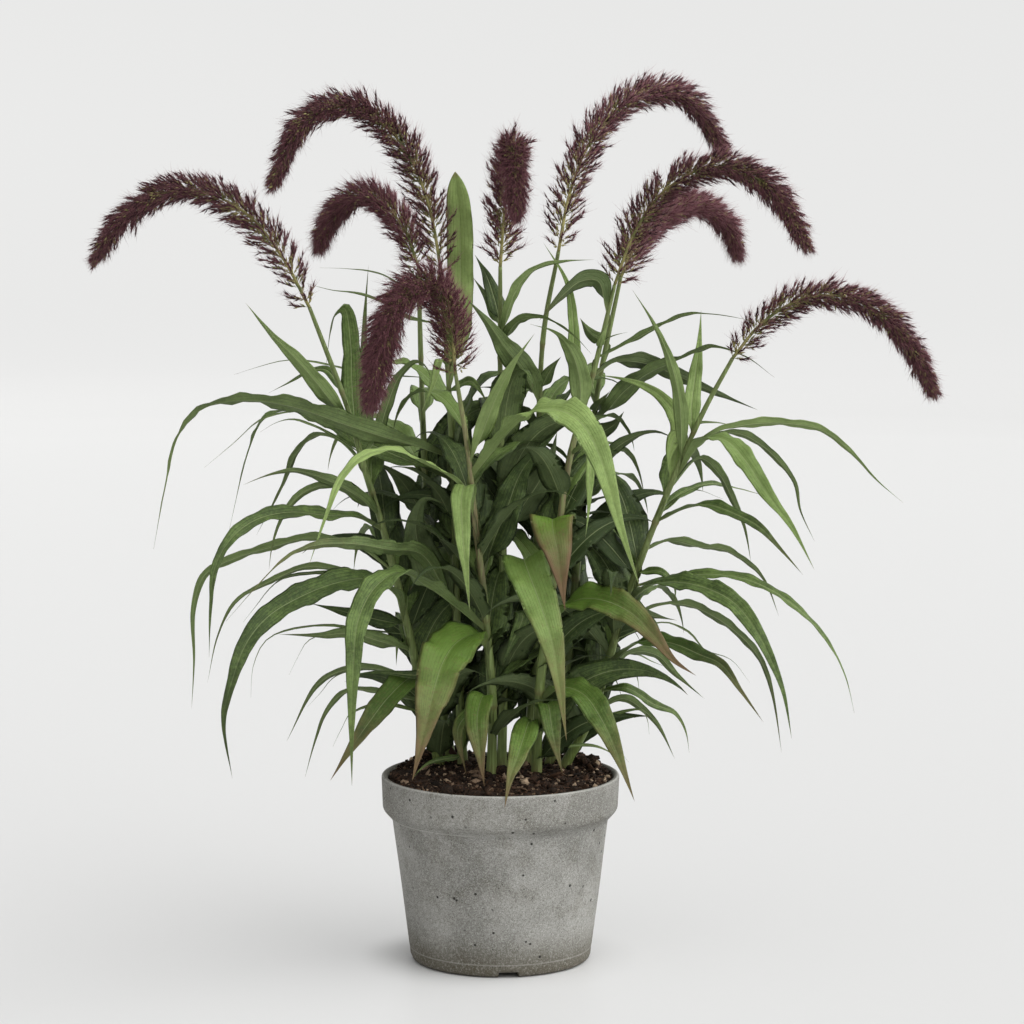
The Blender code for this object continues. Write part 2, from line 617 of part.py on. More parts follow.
def leaf_route(leaf, lean, rise, clear_of_stem):
    """The leaf's evenly spaced centre line from its stem, and the way that its base faces. Lean
    slides it back and forth along the line of sight, more so further out."""
    curve, _ = stem_curve(leaf.stem)
    height = leaf.at + rise
    base = np.array([np.interp(height, curve[:, 2], curve[:, axis]) for axis in range(3)])
    reach = np.minimum(1, np.arange(1, len(leaf.route) + 1) / len(leaf.route) / 0.45)
    weight = reach * reach * (3 - 2 * reach)
    route = [placed((x, z, back + lean * w)) for (x, z, back), w in zip(leaf.route, weight)]
    outward = (route[0] - base) * (1, 1, 0)
    outward = unit(outward)
    fraction = np.interp(height, curve[:, 2], np.linspace(0, 1, SAMPLES))
    if clear_of_stem:
        base = base + outward * (stem_radius(fraction) * 1.28 + LEAF_THICKNESS)
    line, length = curve_through([base] + route)
    return line, length, outward


def spray_route(spray, lean, rise):
    """A leaf of the back: it leaves its stem at the rise angle and bends over evenly to hang."""
    curve, _ = stem_curve(spray.stem)
    height = spray.at + rise
    base = np.array([np.interp(height, curve[:, 2], curve[:, axis]) for axis in range(3)])
    heading = math.radians(spray.heading + 0.6 * lean)
    outward = np.array([math.cos(heading), math.sin(heading), 0])
    along = np.linspace(0, 1, SAMPLES)
    slope = np.radians(spray.rise - (spray.rise + 78) * along**1.2)
    step = spray.length / (SAMPLES - 1)
    out = np.concatenate([[0], np.cumsum(np.cos(slope[1:]) * step)])
    up = np.concatenate([[0], np.cumsum(np.sin(slope[1:]) * step)])
    return base + out[:, None] * outward + up[:, None] * (0, 0, 1), spray.length, outward


def blade_twist(tangents, outward, turns, middle_sight):
    """The blade's breadth at each station. At the base its upper face looks up and towards the
    stem. From there it twists by the least angle that shows the turns asked for."""
    inward = np.array([0.0, 0.0, 1.0]) - outward
    upper = unit(inward - tangents[0] * (inward @ tangents[0]))
    first = np.cross(tangents[0], upper)
    if turns is None:
        return carried(0, first, tangents)
    middle = len(tangents) // 2
    broad = carried(middle, np.cross(tangents[middle], middle_sight), tangents)
    edge = np.cross(tangents, broad)
    angles = [math.degrees(math.atan2(first @ edge[0], first @ broad[0]))]
    for turn in turns:
        options = [sign * turn + half * 180 for sign in (-1, 1) for half in (-2, -1, 0, 1, 2)]
        angles.append(min(options, key=lambda option: abs(option - angles[-1])))
    angle = np.radians(np.interp(np.linspace(0, 1, len(tangents)), (0, 0.22, 0.55, 1), angles))[:, None]
    return np.cos(angle) * broad + np.sin(angle) * edge


def breadth(fractions, width, blunt):
    """The leaf's breadth: a narrow neck, the widest part at a quarter, and a long point."""
    neck = 0.42 + 0.58 * np.sin(np.pi / 2 * np.minimum(1, fractions / 0.28))
    past = np.clip((fractions - 0.25) / 0.75, 0, 1)
    return width * neck * (1 - past ** (10 if blunt else 1.3))


def blade_faces(rings):
    """Triangles between rings of left edge, upper keel, right edge and lower keel. They run from an
    edge to the next keel above and below alike, so that the two faces of a twisted blade never cross."""
    faces = []
    for low in range(0, (rings - 1) * 4, 4):
        left, upper, right, lower = range(low, low + 4)
        faces += [(left, upper, upper + 4), (left, upper + 4, left + 4)]
        faces += [(upper, right, upper + 4), (right, right + 4, upper + 4)]
        faces += [(right, lower, lower + 4), (right, lower + 4, right + 4)]
        faces += [(lower, left, lower + 4), (left, left + 4, lower + 4)]
    return faces


def blade_shape(line, length, outward, width, turns=None, blunt=False, grow=0.0):
    """A folded leaf blade: rings of left edge, upper keel, right edge and lower keel, and a tip."""
    tangents = tangents_of(line)
    sight = unit(line[len(line) // 2] - EYE)
    sides = blade_twist(tangents, outward, turns, sight)
    rings = BACK_RINGS if turns is None else int(np.clip(round(length / 70) + 3, 5, 9))
    fractions = np.linspace(0, 1, rings + 1)[:-1]
    centres = at_fractions(line, fractions)
    side = unit(at_fractions(sides, fractions))
    over = np.cross(side, unit(at_fractions(tangents, fractions)))
    half = (breadth(fractions, width, blunt) / 2)[:, None]
    lift = over * half * LEAF_FOLD
    thick = over * (LEAF_THICKNESS / 2 + grow)
    reach = half + grow
    left, right = centres - side * reach + lift, centres + side * reach + lift
    ring = np.stack([left, centres + thick, right, centres - thick], axis=1)
    points = np.concatenate([ring.reshape(-1, 3), line[-1:]])
    faces = blade_faces(rings) + [(0, 1, 3), (1, 2, 3)]
    last, tip = (rings - 1) * 4, rings * 4
    faces += [(last + i, last + (i + 1) % 4, tip) for i in range(4)]
    return points, faces


def tree_of(points, faces):
    return BVHTree.FromPolygons(points.tolist(), faces), points.min(axis=0), points.max(axis=0)


def meets(one, other):
    """Whether two shapes' surfaces cut each other."""
    apart = (one[1] > other[2]).any() or (other[1] > one[2]).any()
    return not apart and bool(one[0].overlap(other[0]))


def leanings():
    """Pairs of lean and rise in millimetres, the mildest first."""
    pairs = [(lean, rise) for lean in range(-120, 121, 8) for rise in range(-54, 55, 9)]
    return sorted(pairs, key=lambda pair: (abs(pair[0]) + 1.4 * abs(pair[1]), pair))


def first_clear(name, route, shape, taken):
    """The leaf at its mildest lean that cuts nothing in taken."""
    for lean, rise in leanings():
        line = route(lean, rise)
        trial = tree_of(*shape(line, LEAF_CLEARANCE))
        if not any(meets(trial, other) for other in taken):
            return shape(line, 0.0), trial
    raise ValueError(f"{name} finds no clear place")


def back_leaves():
    """The leaves of the back, spread by the golden ratio in heading, length and width."""
    names = list(STEMS)
    for count in range(len(names) * len(BACK_HEIGHTS)):
        stem = names[count % len(names)]
        level = count // len(names)
        share = [(GOLDEN * (count + 1) * step) % 1 for step in (1, 2, 3)]
        drop = SHORT_STEM_DROP * level if stem in SHORT_STEMS else 0
        length = BACK_LENGTHS[0] + (BACK_LENGTHS[1] - BACK_LENGTHS[0]) * share[1]
        yield Spray(
            stem,
            BACK_HEIGHTS[level] - drop + 30 * share[2],
            BACK_HEADINGS[0] + (BACK_HEADINGS[1] - BACK_HEADINGS[0]) * share[0],
            length * (1 - BACK_SHORTENING * level),
            BACK_WIDTHS[0] + (BACK_WIDTHS[1] - BACK_WIDTHS[0]) * share[2],
            50 + 20 * share[1],
        )


def main():
    clear_scene()
    make_pot()
    make_soil()
    stems = {name: stem_shape(name) for name in STEMS}
    stem_objects = {
        name: mesh_object(f"stem_{name}", *shape, "stem_olive", smooth=60)
        for name, shape in stems.items()
    }
    plumes = {name: plume_shape(name) for name in PLUMES}
    for name, shape in plumes.items():
        mesh_object(f"plume_{name}", *shape, "plume_purple", smooth=60)
    pot_tree = tree_of(np.array([v.co for v in bpy.data.objects["pot"].data.vertices]) / MM,
                       [tuple(p.vertices) for p in bpy.data.objects["pot"].data.polygons])
    soil_tree = tree_of(np.array([v.co for v in bpy.data.objects["soil"].data.vertices]) / MM,
                        [tuple(p.vertices) for p in bpy.data.objects["soil"].data.polygons])
    trees = {name: tree_of(*shape) for name, shape in stems.items()}
    taken = [pot_tree, soil_tree] + [tree_of(*shape) for shape in plumes.values()]

    for leaf in MAIN_LEAVES:
        shape, tree = first_clear(
            leaf.name,
            lambda lean, rise: leaf_route(leaf, lean, rise, True),
            lambda line, grow: blade_shape(*line, leaf.width, leaf.turns, leaf.blunt, grow),
            taken + list(trees.values()),
        )
        taken.append(tree)
        mesh_object(leaf.name, *shape, "leaf_green", smooth=40)

    for leaf in SMALL_LEAVES:
        others = [tree for name, tree in trees.items() if name != leaf.stem]
        shape, tree = first_clear(
            leaf.name,
            lambda lean, rise: leaf_route(leaf, lean, rise, False),
            lambda line, grow: blade_shape(*line, leaf.width, leaf.turns, leaf.blunt, grow),
            taken + others,
        )
        taken.append(tree)
        helper = mesh_object(f"small_leaf_{leaf.name}", *shape, "leaf_green", smooth=40)
        boolean(stem_objects[leaf.stem], as_helper(helper), "UNION", "MANIFOLD")

    for count, spray in enumerate(back_leaves(), 1):
        others = [tree for name, tree in trees.items() if name != spray.stem]
        shape, tree = first_clear(
            f"back leaf {count}",
            lambda lean, rise: spray_route(spray, lean, rise),
            lambda line, grow: blade_shape(*line, spray.width, grow=grow),
            taken + others,
        )
        taken.append(tree)
        helper = mesh_object(f"back_leaf_{count}", *shape, "leaf_green", smooth=40)
        boolean(stem_objects[spray.stem], as_helper(helper), "UNION", "MANIFOLD")


main()
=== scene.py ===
"""Potted ornamental millet: the finished look of the pot, soil, stems, leaves and plumes.

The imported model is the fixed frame. Every piece is worked out in millimetres, +Z up, with -Y the
front, and stands in place of the frame's node of its form. Routes are written as (across, up,
back): across and up are read in the upright plane through the pot's axis, and back slides the
point away from the front along its line to the eye point.
"""

import math
from collections import namedtuple
from functools import lru_cache

import bpy
import numpy as np
from bpy.props import FloatProperty, FloatVectorProperty, IntProperty, PointerProperty
from mathutils.bvhtree import BVHTree
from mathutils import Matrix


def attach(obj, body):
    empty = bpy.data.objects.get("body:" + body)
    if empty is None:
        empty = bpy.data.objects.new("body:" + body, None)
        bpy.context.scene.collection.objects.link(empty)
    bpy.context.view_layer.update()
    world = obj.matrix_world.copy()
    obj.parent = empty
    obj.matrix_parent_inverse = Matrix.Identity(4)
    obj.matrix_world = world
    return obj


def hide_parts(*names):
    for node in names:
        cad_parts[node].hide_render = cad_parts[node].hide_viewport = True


bl_info = {
    "name": "Potted Ornamental Millet",
    "version": (1, 0, 0),
    "blender": (4, 5, 0),
    "location": "3D View > Sidebar > Millet",
    "description": "Makes a grey pot of ornamental millet with long leaves and arching plumes",
    "category": "Add Mesh",
}

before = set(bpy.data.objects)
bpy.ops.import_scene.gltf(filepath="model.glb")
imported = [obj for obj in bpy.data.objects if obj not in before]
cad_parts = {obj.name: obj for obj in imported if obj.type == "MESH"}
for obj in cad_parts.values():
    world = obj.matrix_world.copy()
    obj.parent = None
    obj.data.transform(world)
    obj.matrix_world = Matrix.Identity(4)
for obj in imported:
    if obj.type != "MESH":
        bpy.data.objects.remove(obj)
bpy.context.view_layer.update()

MM = 0.001
EYE = np.array([11.5, -3400.0, 850.0])
SAMPLES = 49
GOLDEN = (math.sqrt(5) - 1) / 2
BLACK = (0.0, 0.0, 0.0)

# The pot and the soil, in millimetres
RIM_RADIUS = 118.5
RIM_TOP = 186.0
BAND_FOOT = 152.5
BODY_TOP_RADIUS = 107.5
BODY_TOP = 142.0
FOOT_RADIUS = 90.0
FOOT_CHAMFER = 4.0
RIM_WALL_RADIUS = 109.5
RIM_WALL_FOOT = 163.0
WALL_RADIUS = 98.5
WALL_TOP = 140.0
FLOOR_RADIUS = 81.0
FLOOR_TOP = 16.0
NOTCH_WIDTH = 20.0
NOTCH_HEIGHT = 6.0
NOTCH_DEPTH = 22.0
NOTCH_TURN = 5.4
SOIL_EDGE = 181.0
SOIL_MOUND = 4.5
SOIL_GAP = 0.5

# Stems and leaves, in millimetres
STEM_FOOT_RADIUS = 5.2
STEM_TOP_RADIUS = 1.9
STEM_JOINTS = 4
JOINT_SWELL = 1.28
STEM_TAPER = 0.8
LEAF_THICKNESS = 1.3
LEAF_FOLD = 0.2
LEAF_CLEARANCE = 1.0

# A leaf's look is its tone, from dark (0) to light (1), and how far its point and margins are
# blushed. The tone is partly the leaf's own green and partly painted light and shade: lit outer
# leaves have light tones, shaded inner ones dark tones. Turns are how far the blade is turned from
# broadside to the front (degrees) near its base, at its middle and at its tip. At is the height of
# its base on the stem.
PLAIN_LOOK = (0.27, 0.14)
Stem = namedtuple("Stem", "foot route plume")
Leaf = namedtuple("Leaf", "stem at width turns route look blunt", defaults=(PLAIN_LOOK, False))
Spray = namedtuple(
    "Spray", "stem at heading length width rise look turns droop bend blunt", defaults=(None, 78, 1.2, False)
)
Blade = namedtuple("Blade", "route leaf")
Shape = namedtuple("Shape", "points quads triangles values")

# Each stem: its foot on the soil (x, y), its route to the start of its plume, and its plume's route
# from there to the tip
STEMS = {
    "far_left": Stem(
        (-62, 58), [(-88, 315, 32), (-114, 425, 20), (-135, 495, 10), (-150, 550, 2), (-187, 650, -10)],
        [(-215, 702, -8), (-252, 745, 2), (-310, 766, 22), (-365, 740, 44), (-400, 692, 60)],
    ),
    "upper_left": Stem(
        (-38, 44), [(-42, 300, 42), (-45, 430, 38), (-50, 560, 30), (-57, 680, 20)],
        [(-70, 750, 10), (-95, 808, -8), (-140, 845, -32), (-187, 835, -50), (-225, 765, -60)],
    ),
    "small_left": Stem(
        (-50, 72), [(-66, 320, 74), (-74, 480, 78), (-78, 600, 82), (-80, 690, 86)],
        [(-98, 734, 104), (-132, 760, 121), (-163, 740, 133), (-178, 707, 136)],
    ),
    "centre": Stem(
        (1, 30), [(3, 300, 32), (2, 450, 28), (0, 570, 20), (0, 690, 2)],
        [(4, 745, -8), (8, 792, -34), (12, 806, -66), (15, 782, -96), (16, 738, -112)],
    ),
    "front": Stem(
        (-9, 6), [(-8, 250, 4), (-15, 350, -6), (-25, 440, -18), (-32, 510, -30), (-44, 585, -45)],
        [(-50, 636, -64), (-68, 673, -92), (-98, 657, -118), (-117, 610, -134), (-128, 552, -142)],
    ),
    "upper_right": Stem(
        (26, 58), [(34, 300, 58), (37, 450, 52), (42, 620, 36), (57, 705, 20)],
        [(68, 762, 28), (90, 815, 44), (128, 853, 68), (176, 857, 90), (222, 797, 110)],
    ),
    "mid_right": Stem(
        (36, 8), [(39, 270, 4), (52, 380, 0), (68, 500, -4), (90, 580, 4), (112, 672, 10)],
        [(132, 725, -2), (165, 768, -24), (213, 788, -50), (263, 767, -74), (303, 705, -90)],
    ),
    "small_right": Stem(
        (50, 66), [(66, 300, 70), (82, 460, 72), (97, 575, 70), (118, 680, 68)],
        [(143, 726, 97), (190, 750, 127), (220, 732, 142), (233, 700, 146)],
    ),
    "far_right": Stem(
        (64, 46), [(88, 240, 40), (128, 370, 20), (170, 480, 0), (200, 548, -10), (228, 600, -20)],
        [(258, 636, -30), (305, 661, -44), (360, 653, -58), (402, 612, -66), (428, 562, -70)],
    ),
}

# Main leaves, each in place of its own node
MAIN_LEAVES = {
    "front_broad": Leaf("front", 490, 40, (45, 12, 8), [(-5, 512, -38), (12, 532, -56), (34, 548, -80),
        (58, 549, -104), (80, 536, -126), (97, 506, -144), (119, 432, -170), (139, 370, -185)], (0.8, 0.1)),
    "front_long": Leaf("mid_right", 372, 44, (5, 5, 10), [(36, 391, -14), (24, 401, -34), (27, 390, -56),
        (40, 355, -84), (53, 310, -110), (66, 218, -140)], (0.55, 0.5)),
    "red_tipped": Leaf("mid_right", 430, 46, (5, 5, 5), [(52, 441, -16), (52, 430, -34), (57, 405, -50),
        (64, 350, -66)], (0.2, 1.15)),
    "front_right": Leaf("mid_right", 340, 37, (26, 10, 20), [(75, 360, -20), (102, 360, -42),
        (130, 347, -64), (152, 325, -84), (172, 300, -104), (195, 284, -120)], (0.25, 0.8)),
    "front_left": Leaf("front", 316, 54, (12, 8, 15), [(-26, 325, -16), (-43, 318, -38), (-57, 298, -62),
        (-68, 262, -88), (-77, 222, -110), (-88, 178, -130)], (0.35, 0.8)),
    "left_bow": Leaf("front", 334, 33, (50, 15, 15), [(-44, 354, -24), (-70, 373, -44), (-99, 388, -70),
        (-124, 373, -94), (-141, 340, -116), (-146, 290, -132), (-148, 230, -144), (-148, 172, -150)],
        (0.3, 0.1)),
    "low_right": Leaf("mid_right", 262, 33, (20, 8, 15), [(60, 273, -12), (82, 266, -34), (98, 245, -58),
        (113, 214, -84), (134, 157, -120)], (0.25, 0.5)),
    "foot_centre": Leaf("mid_right", 232, 27, (8, 8, 8), [(29, 238, -14), (23, 222, -42), (16, 200, -76),
        (9, 178, -106), (4, 150, -128)], (0.35, 0.6)),
    "foot_left": Leaf("front", 258, 29, (8, 8, 8), [(-17, 264, -16), (-23, 243, -36), (-21, 214, -54),
        (-16, 172, -76)], (0.25, 0.75)),
    "left_bright": Leaf("front", 470, 17, (55, 50, 35), [(-50, 484, -36), (-75, 497, -56), (-103, 509, -78),
        (-132, 505, -100), (-156, 483, -120), (-170, 450, -136), (-190, 393, -150)], (0.95, 0.0)),
    "hanging": Leaf("front", 452, 22, (8, 8, 15), [(-34, 474, -36), (-38, 462, -52), (-37, 425, -70),
        (-30, 347, -90)], (0.75, 0.1)),
    "upright_bright": Leaf("front", 506, 19, (10, 20, 35), [(-18, 526, -40), (-5, 560, -52), (11, 592, -66),
        (34, 625, -80)], (0.95, 0.0)),
    "inner_broad": Leaf("front", 392, 38, (15, 10, 20), [(-8, 415, -2), (6, 450, 2), (22, 490, 4),
        (58, 530, 0)], (0.15, 0.0)),
    "inner_dark": Leaf("centre", 425, 34, (15, 10, 20), [(18, 448, 20), (38, 478, 18), (50, 502, 20),
        (56, 528, 24)], (0.0, 0.0)),
    "curled_left": Leaf("upper_left", 355, 40, (10, 10, 20), [(-66, 384, 24), (-81, 415, 10), (-83, 442, 0),
        (-74, 461, -8), (-56, 457, -16)], (0.15, 0.0)),
    "top_blunt": Leaf("upper_left", 590, 27, (10, 5, 5), [(-40, 640, 24), (-39, 695, 24), (-40, 742, 20),
        (-44, 783, 12)], (0.95, 0.0), True),
    "top_arch": Leaf("centre", 622, 13, (40, 45, 50), [(8, 650, -4), (20, 675, -8), (38, 690, -8),
        (62, 695, -4), (92, 697, 6)], (0.6, 0.0)),
    "centre_broad": Leaf("upper_right", 556, 31, (18, 12, 25), [(20, 590, 8), (3, 613, -8), (-13, 636, -12),
        (-34, 660, -12)], (0.3, 0.0)),
    "bent_top": Leaf("mid_right", 545, 23, (15, 25, 50), [(78, 580, -12), (70, 606, -24), (54, 625, -40),
        (29, 634, -54)], (0.7, 0.0)),
    "right_under": Leaf("mid_right", 650, 21, (45, 30, 20), [(96, 676, 2), (79, 676, -2), (60, 661, -6),
        (38, 637, -8)], (0.0, 0.2)),
    "right_upright": Leaf("mid_right", 560, 14, (20, 15, 30), [(73, 595, 14), (71, 640, 18), (65, 675, 18),
        (42, 714, 12)], (0.6, 0.0)),
    "left_lance": Leaf("far_left", 538, 19, (15, 12, 30), [(-165, 556, -14), (-183, 579, -26),
        (-204, 603, -38), (-224, 623, -48), (-250, 655, -60)], (0.6, 0.05)),
    "left_long": Leaf("upper_left", 500, 27, (30, 63, 66), [(-80, 513, 8), (-115, 523, -2),
        (-155, 536, -14), (-205, 553, -28), (-252, 559, -40), (-292, 551, -50), (-316, 526, -56),
        (-331, 470, -60), (-343, 410, -60)]),
    "left_second": Leaf("upper_left", 478, 26, (22, 68, 62), [(-100, 503, 28), (-140, 521, 32),
        (-178, 541, 38), (-208, 549, 44), (-232, 541, 50), (-247, 512, 56), (-268, 430, 60)], (0.3, 0.1)),
    "left_shoulder": Leaf("far_left", 430, 21, (40, 30, 60), [(-140, 443, -4), (-175, 445, -24),
        (-207, 448, -46), (-240, 441, -66), (-264, 424, -84), (-281, 396, -98), (-287, 350, -108),
        (-289, 302, -110)], (0.25, 0.05)),
    "left_outer": Leaf("far_left", 390, 14, (50, 35, 20), [(-140, 414, 24), (-185, 423, 38),
        (-225, 414, 52), (-263, 402, 66), (-292, 386, 78), (-304, 352, 86), (-304, 300, 90),
        (-307, 250, 90)], (0.4, 0.1)),
    "left_waist": Leaf("upper_left", 392, 21, (45, 25, 40), [(-75, 404, 14), (-110, 411, -16),
        (-150, 417, -48), (-187, 414, -80), (-215, 400, -108), (-240, 375, -132), (-273, 338, -150)],
        (0.2, 0.3)),
    "left_broad": Leaf("far_left", 340, 31, (35, 15, 50), [(-103, 365, 8), (-127, 381, -12),
        (-160, 378, -34), (-197, 364, -56), (-230, 344, -76), (-252, 317, -94), (-266, 280, -108),
        (-275, 240, -116), (-267, 180, -120)], (0.15, 0.1)),
    "left_low": Leaf("far_left", 275, 29, (20, 10, 20), [(-92, 281, 8), (-112, 262, -10), (-131, 237, -26),
        (-149, 211, -40), (-170, 178, -54)], (0.1, 0.55)),
    "right_dark": Leaf("mid_right", 585, 21, (35, 25, 35), [(112, 597, 14), (140, 596, 26), (172, 584, 40),
        (205, 569, 54), (254, 549, 70)], (0.05, 0.0)),
    "right_rise": Leaf("small_right", 535, 21, (20, 68, 75), [(104, 548, 48), (121, 567, 34),
        (144, 585, 24), (175, 599, 18), (208, 611, 14), (240, 602, 12), (270, 581, 10)]),
    "right_cross": Leaf("far_right", 500, 15, (20, 15, 25), [(178, 536, -16), (175, 566, -26),
        (166, 600, -38), (150, 635, -50), (129, 668, -60)], (0.65, 0.0)),
    "right_lance": Leaf("far_right", 525, 18, (15, 10, 20), [(188, 552, 10), (191, 580, 24), (195, 612, 36),
        (197, 648, 44)], (0.7, 0.0)),
    "right_long": Leaf("far_right", 514, 13, (40, 40, 60), [(215, 529, -12), (250, 536, -2), (286, 536, 8),
        (318, 529, 18), (346, 507, 28), (372, 479, 36), (398, 457, 42)], (0.7, 0.05)),
    "right_broad": Leaf("far_right", 490, 25, (45, 10, 20), [(200, 519, -22), (222, 519, -46),
        (243, 497, -72), (264, 465, -98), (288, 433, -122), (311, 390, -140)], (0.55, 0.05)),
    "right_bent": Leaf("far_right", 440, 17, (60, 25, 30), [(182, 452, -16), (206, 455, -34),
        (232, 446, -52), (256, 433, -68), (277, 411, -84), (300, 385, -100)], (0.2, 0.2)),
    "right_outer": Leaf("far_right", 372, 15, (45, 45, 60), [(168, 382, 4), (205, 386, -10),
        (240, 382, -22), (272, 368, -34), (302, 345, -44), (327, 315, -52), (343, 282, -58),
        (352, 246, -60)], (0.3, 0.05)),
    "right_bow": Leaf("far_right", 358, 26, (35, 15, 30), [(150, 376, -18), (178, 378, -42),
        (207, 371, -68), (232, 357, -92), (252, 332, -114), (268, 302, -132), (281, 268, -144),
        (290, 220, -150)], (0.25, 0.05)),
    "right_waist": Leaf("far_right", 336, 14, (40, 35, 50), [(155, 355, 30), (185, 356, 50), (214, 343, 70),
        (241, 322, 88), (260, 297, 102), (271, 262, 114), (280, 206, 120)], (0.12, 0.2)),
    "right_low": Leaf("far_right", 296, 22, (45, 20, 40), [(140, 319, -6), (170, 317, -30), (197, 306, -52),
        (220, 295, -72), (239, 269, -92), (262, 237, -110)], (0.08, 0.3)),
}

# Smaller leaves, fused to the stem that they grow from
SMALL_LEAVES = [
    Leaf("centre", 635, 20, (20, 15, 20), [(-7, 662, 22), (-14, 682, 28), (-25, 702, 32)], (0.1, 0.0)),
    Leaf("centre", 612, 15, (70, 70, 60), [(20, 638, -20), (45, 639, -28), (70, 624, -30), (90, 604, -30)]),
    Leaf("far_left", 500, 15, (30, 25, 25), [(-121, 524, 2), (-112, 552, -6), (-99, 583, -12),
        (-82, 597, -18), (-70, 586, -24), (-71, 562, -26)]),
    Leaf("upper_left", 565, 13, (20, 15, 20), [(-28, 577, 6), (-12, 556, -10)]),
    Leaf("small_left", 430, 26, (20, 15, 20), [(-100, 482, 50), (-125, 500, 42)], (0.2, 0.0)),
    Leaf("front", 232, 16, (10, 10, 10), [(-29, 246, -8), (-42, 232, -14), (-34, 184, -26)], (0.2, 0.6)),
    Leaf("mid_right", 246, 26, (10, 10, 10), [(47, 256, -14), (51, 232, -30), (56, 208, -42),
        (62, 185, -48)], (0.25, 0.45)),
    Leaf("far_left", 494, 12, (45, 45, 50), [(-160, 520, 30), (-182, 524, 44), (-201, 507, 58),
        (-214, 476, 70), (-241, 425, 84)]),
    Leaf("far_left", 442, 16, (35, 35, 40), [(-142, 465, -14), (-173, 481, -24), (-203, 489, -32),
        (-228, 485, -38), (-254, 475, -40)]),
    Leaf("far_left", 562, 9, (45, 45, 45), [(-170, 588, 18), (-186, 588, 26), (-206, 577, 36),
        (-228, 566, 46)]),
    Leaf("far_left", 522, 24, (20, 20, 20), [(-146, 575, 22), (-147, 615, 24), (-153, 650, 16),
        (-163, 642, 4), (-172, 588, -4)]),
    Leaf("far_left", 478, 15, (15, 15, 25), [(-131, 530, 30), (-134, 585, 44), (-133, 640, 56),
        (-129, 692, 64)]),
    Leaf("far_left", 350, 10, (40, 35, 45), [(-112, 377, 24), (-150, 388, 28), (-190, 394, 32),
        (-226, 380, 36), (-262, 359, 40), (-280, 325, 44), (-291, 277, 46)]),
    Leaf("far_left", 304, 17, (30, 25, 30), [(-118, 319, 12), (-148, 327, 8), (-178, 325, 4),
        (-220, 326, 2)]),
    Leaf("far_left", 262, 11, (40, 30, 30), [(-115, 290, 34), (-152, 291, 44), (-181, 276, 54),
        (-213, 218, 64)]),
    Leaf("small_left", 240, 10, (40, 40, 40), [(-110, 266, 60), (-150, 270, 72), (-172, 250, 84),
        (-184, 220, 92), (-195, 181, 98)]),
    Leaf("mid_right", 600, 10, (55, 55, 55), [(122, 614, -2), (152, 630, -16), (182, 643, -30),
        (212, 643, -42), (248, 637, -52)]),
    Leaf("far_right", 486, 19, (20, 20, 20), [(175, 538, 10), (160, 561, 16), (142, 573, 20),
        (120, 580, 22), (95, 584, 24)], (0.9, 0.0)),
    Leaf("far_right", 528, 11, (30, 30, 40), [(232, 527, 24), (257, 515, 40), (277, 496, 54),
        (291, 476, 66), (296, 450, 74), (311, 418, 80)]),
    Leaf("far_right", 478, 14, (30, 30, 40), [(196, 502, 18), (216, 486, 34), (229, 461, 50),
        (241, 433, 64), (248, 397, 76)]),
    Leaf("far_right", 452, 11, (55, 50, 50), [(180, 467, 34), (206, 476, 58), (236, 471, 80),
        (262, 464, 98)]),
    Leaf("far_right", 408, 14, (45, 50, 60), [(166, 420, 34), (196, 414, 54), (221, 411, 74),
        (247, 396, 92), (263, 377, 106), (276, 344, 118)]),
    Leaf("far_right", 262, 12, (30, 25, 25), [(125, 272, 20), (152, 256, 28), (173, 247, 36),
        (184, 229, 42), (188, 206, 44)]),
    Leaf("far_right", 236, 11, (30, 25, 25), [(120, 262, 34), (141, 251, 46), (157, 234, 56),
        (174, 200, 62)]),
    Leaf("far_right", 280, 15, (40, 25, 40), [(130, 308, 30), (156, 305, 40), (173, 287, 50),
        (203, 261, 60)]),
]

# Leaves of the back, fused as well: one for each stem at each of these heights
BACK_HEIGHTS = (255, 345, 435, 515)
BACK_HEADINGS = (48, 132)
BACK_LENGTHS = (180, 290)
BACK_SHORTENING = 0.11
SHORT_STEMS = ("far_left", "far_right")
SHORT_STEM_DROP = 28
BACK_WIDTHS = (20, 30)
BACK_RINGS = 5

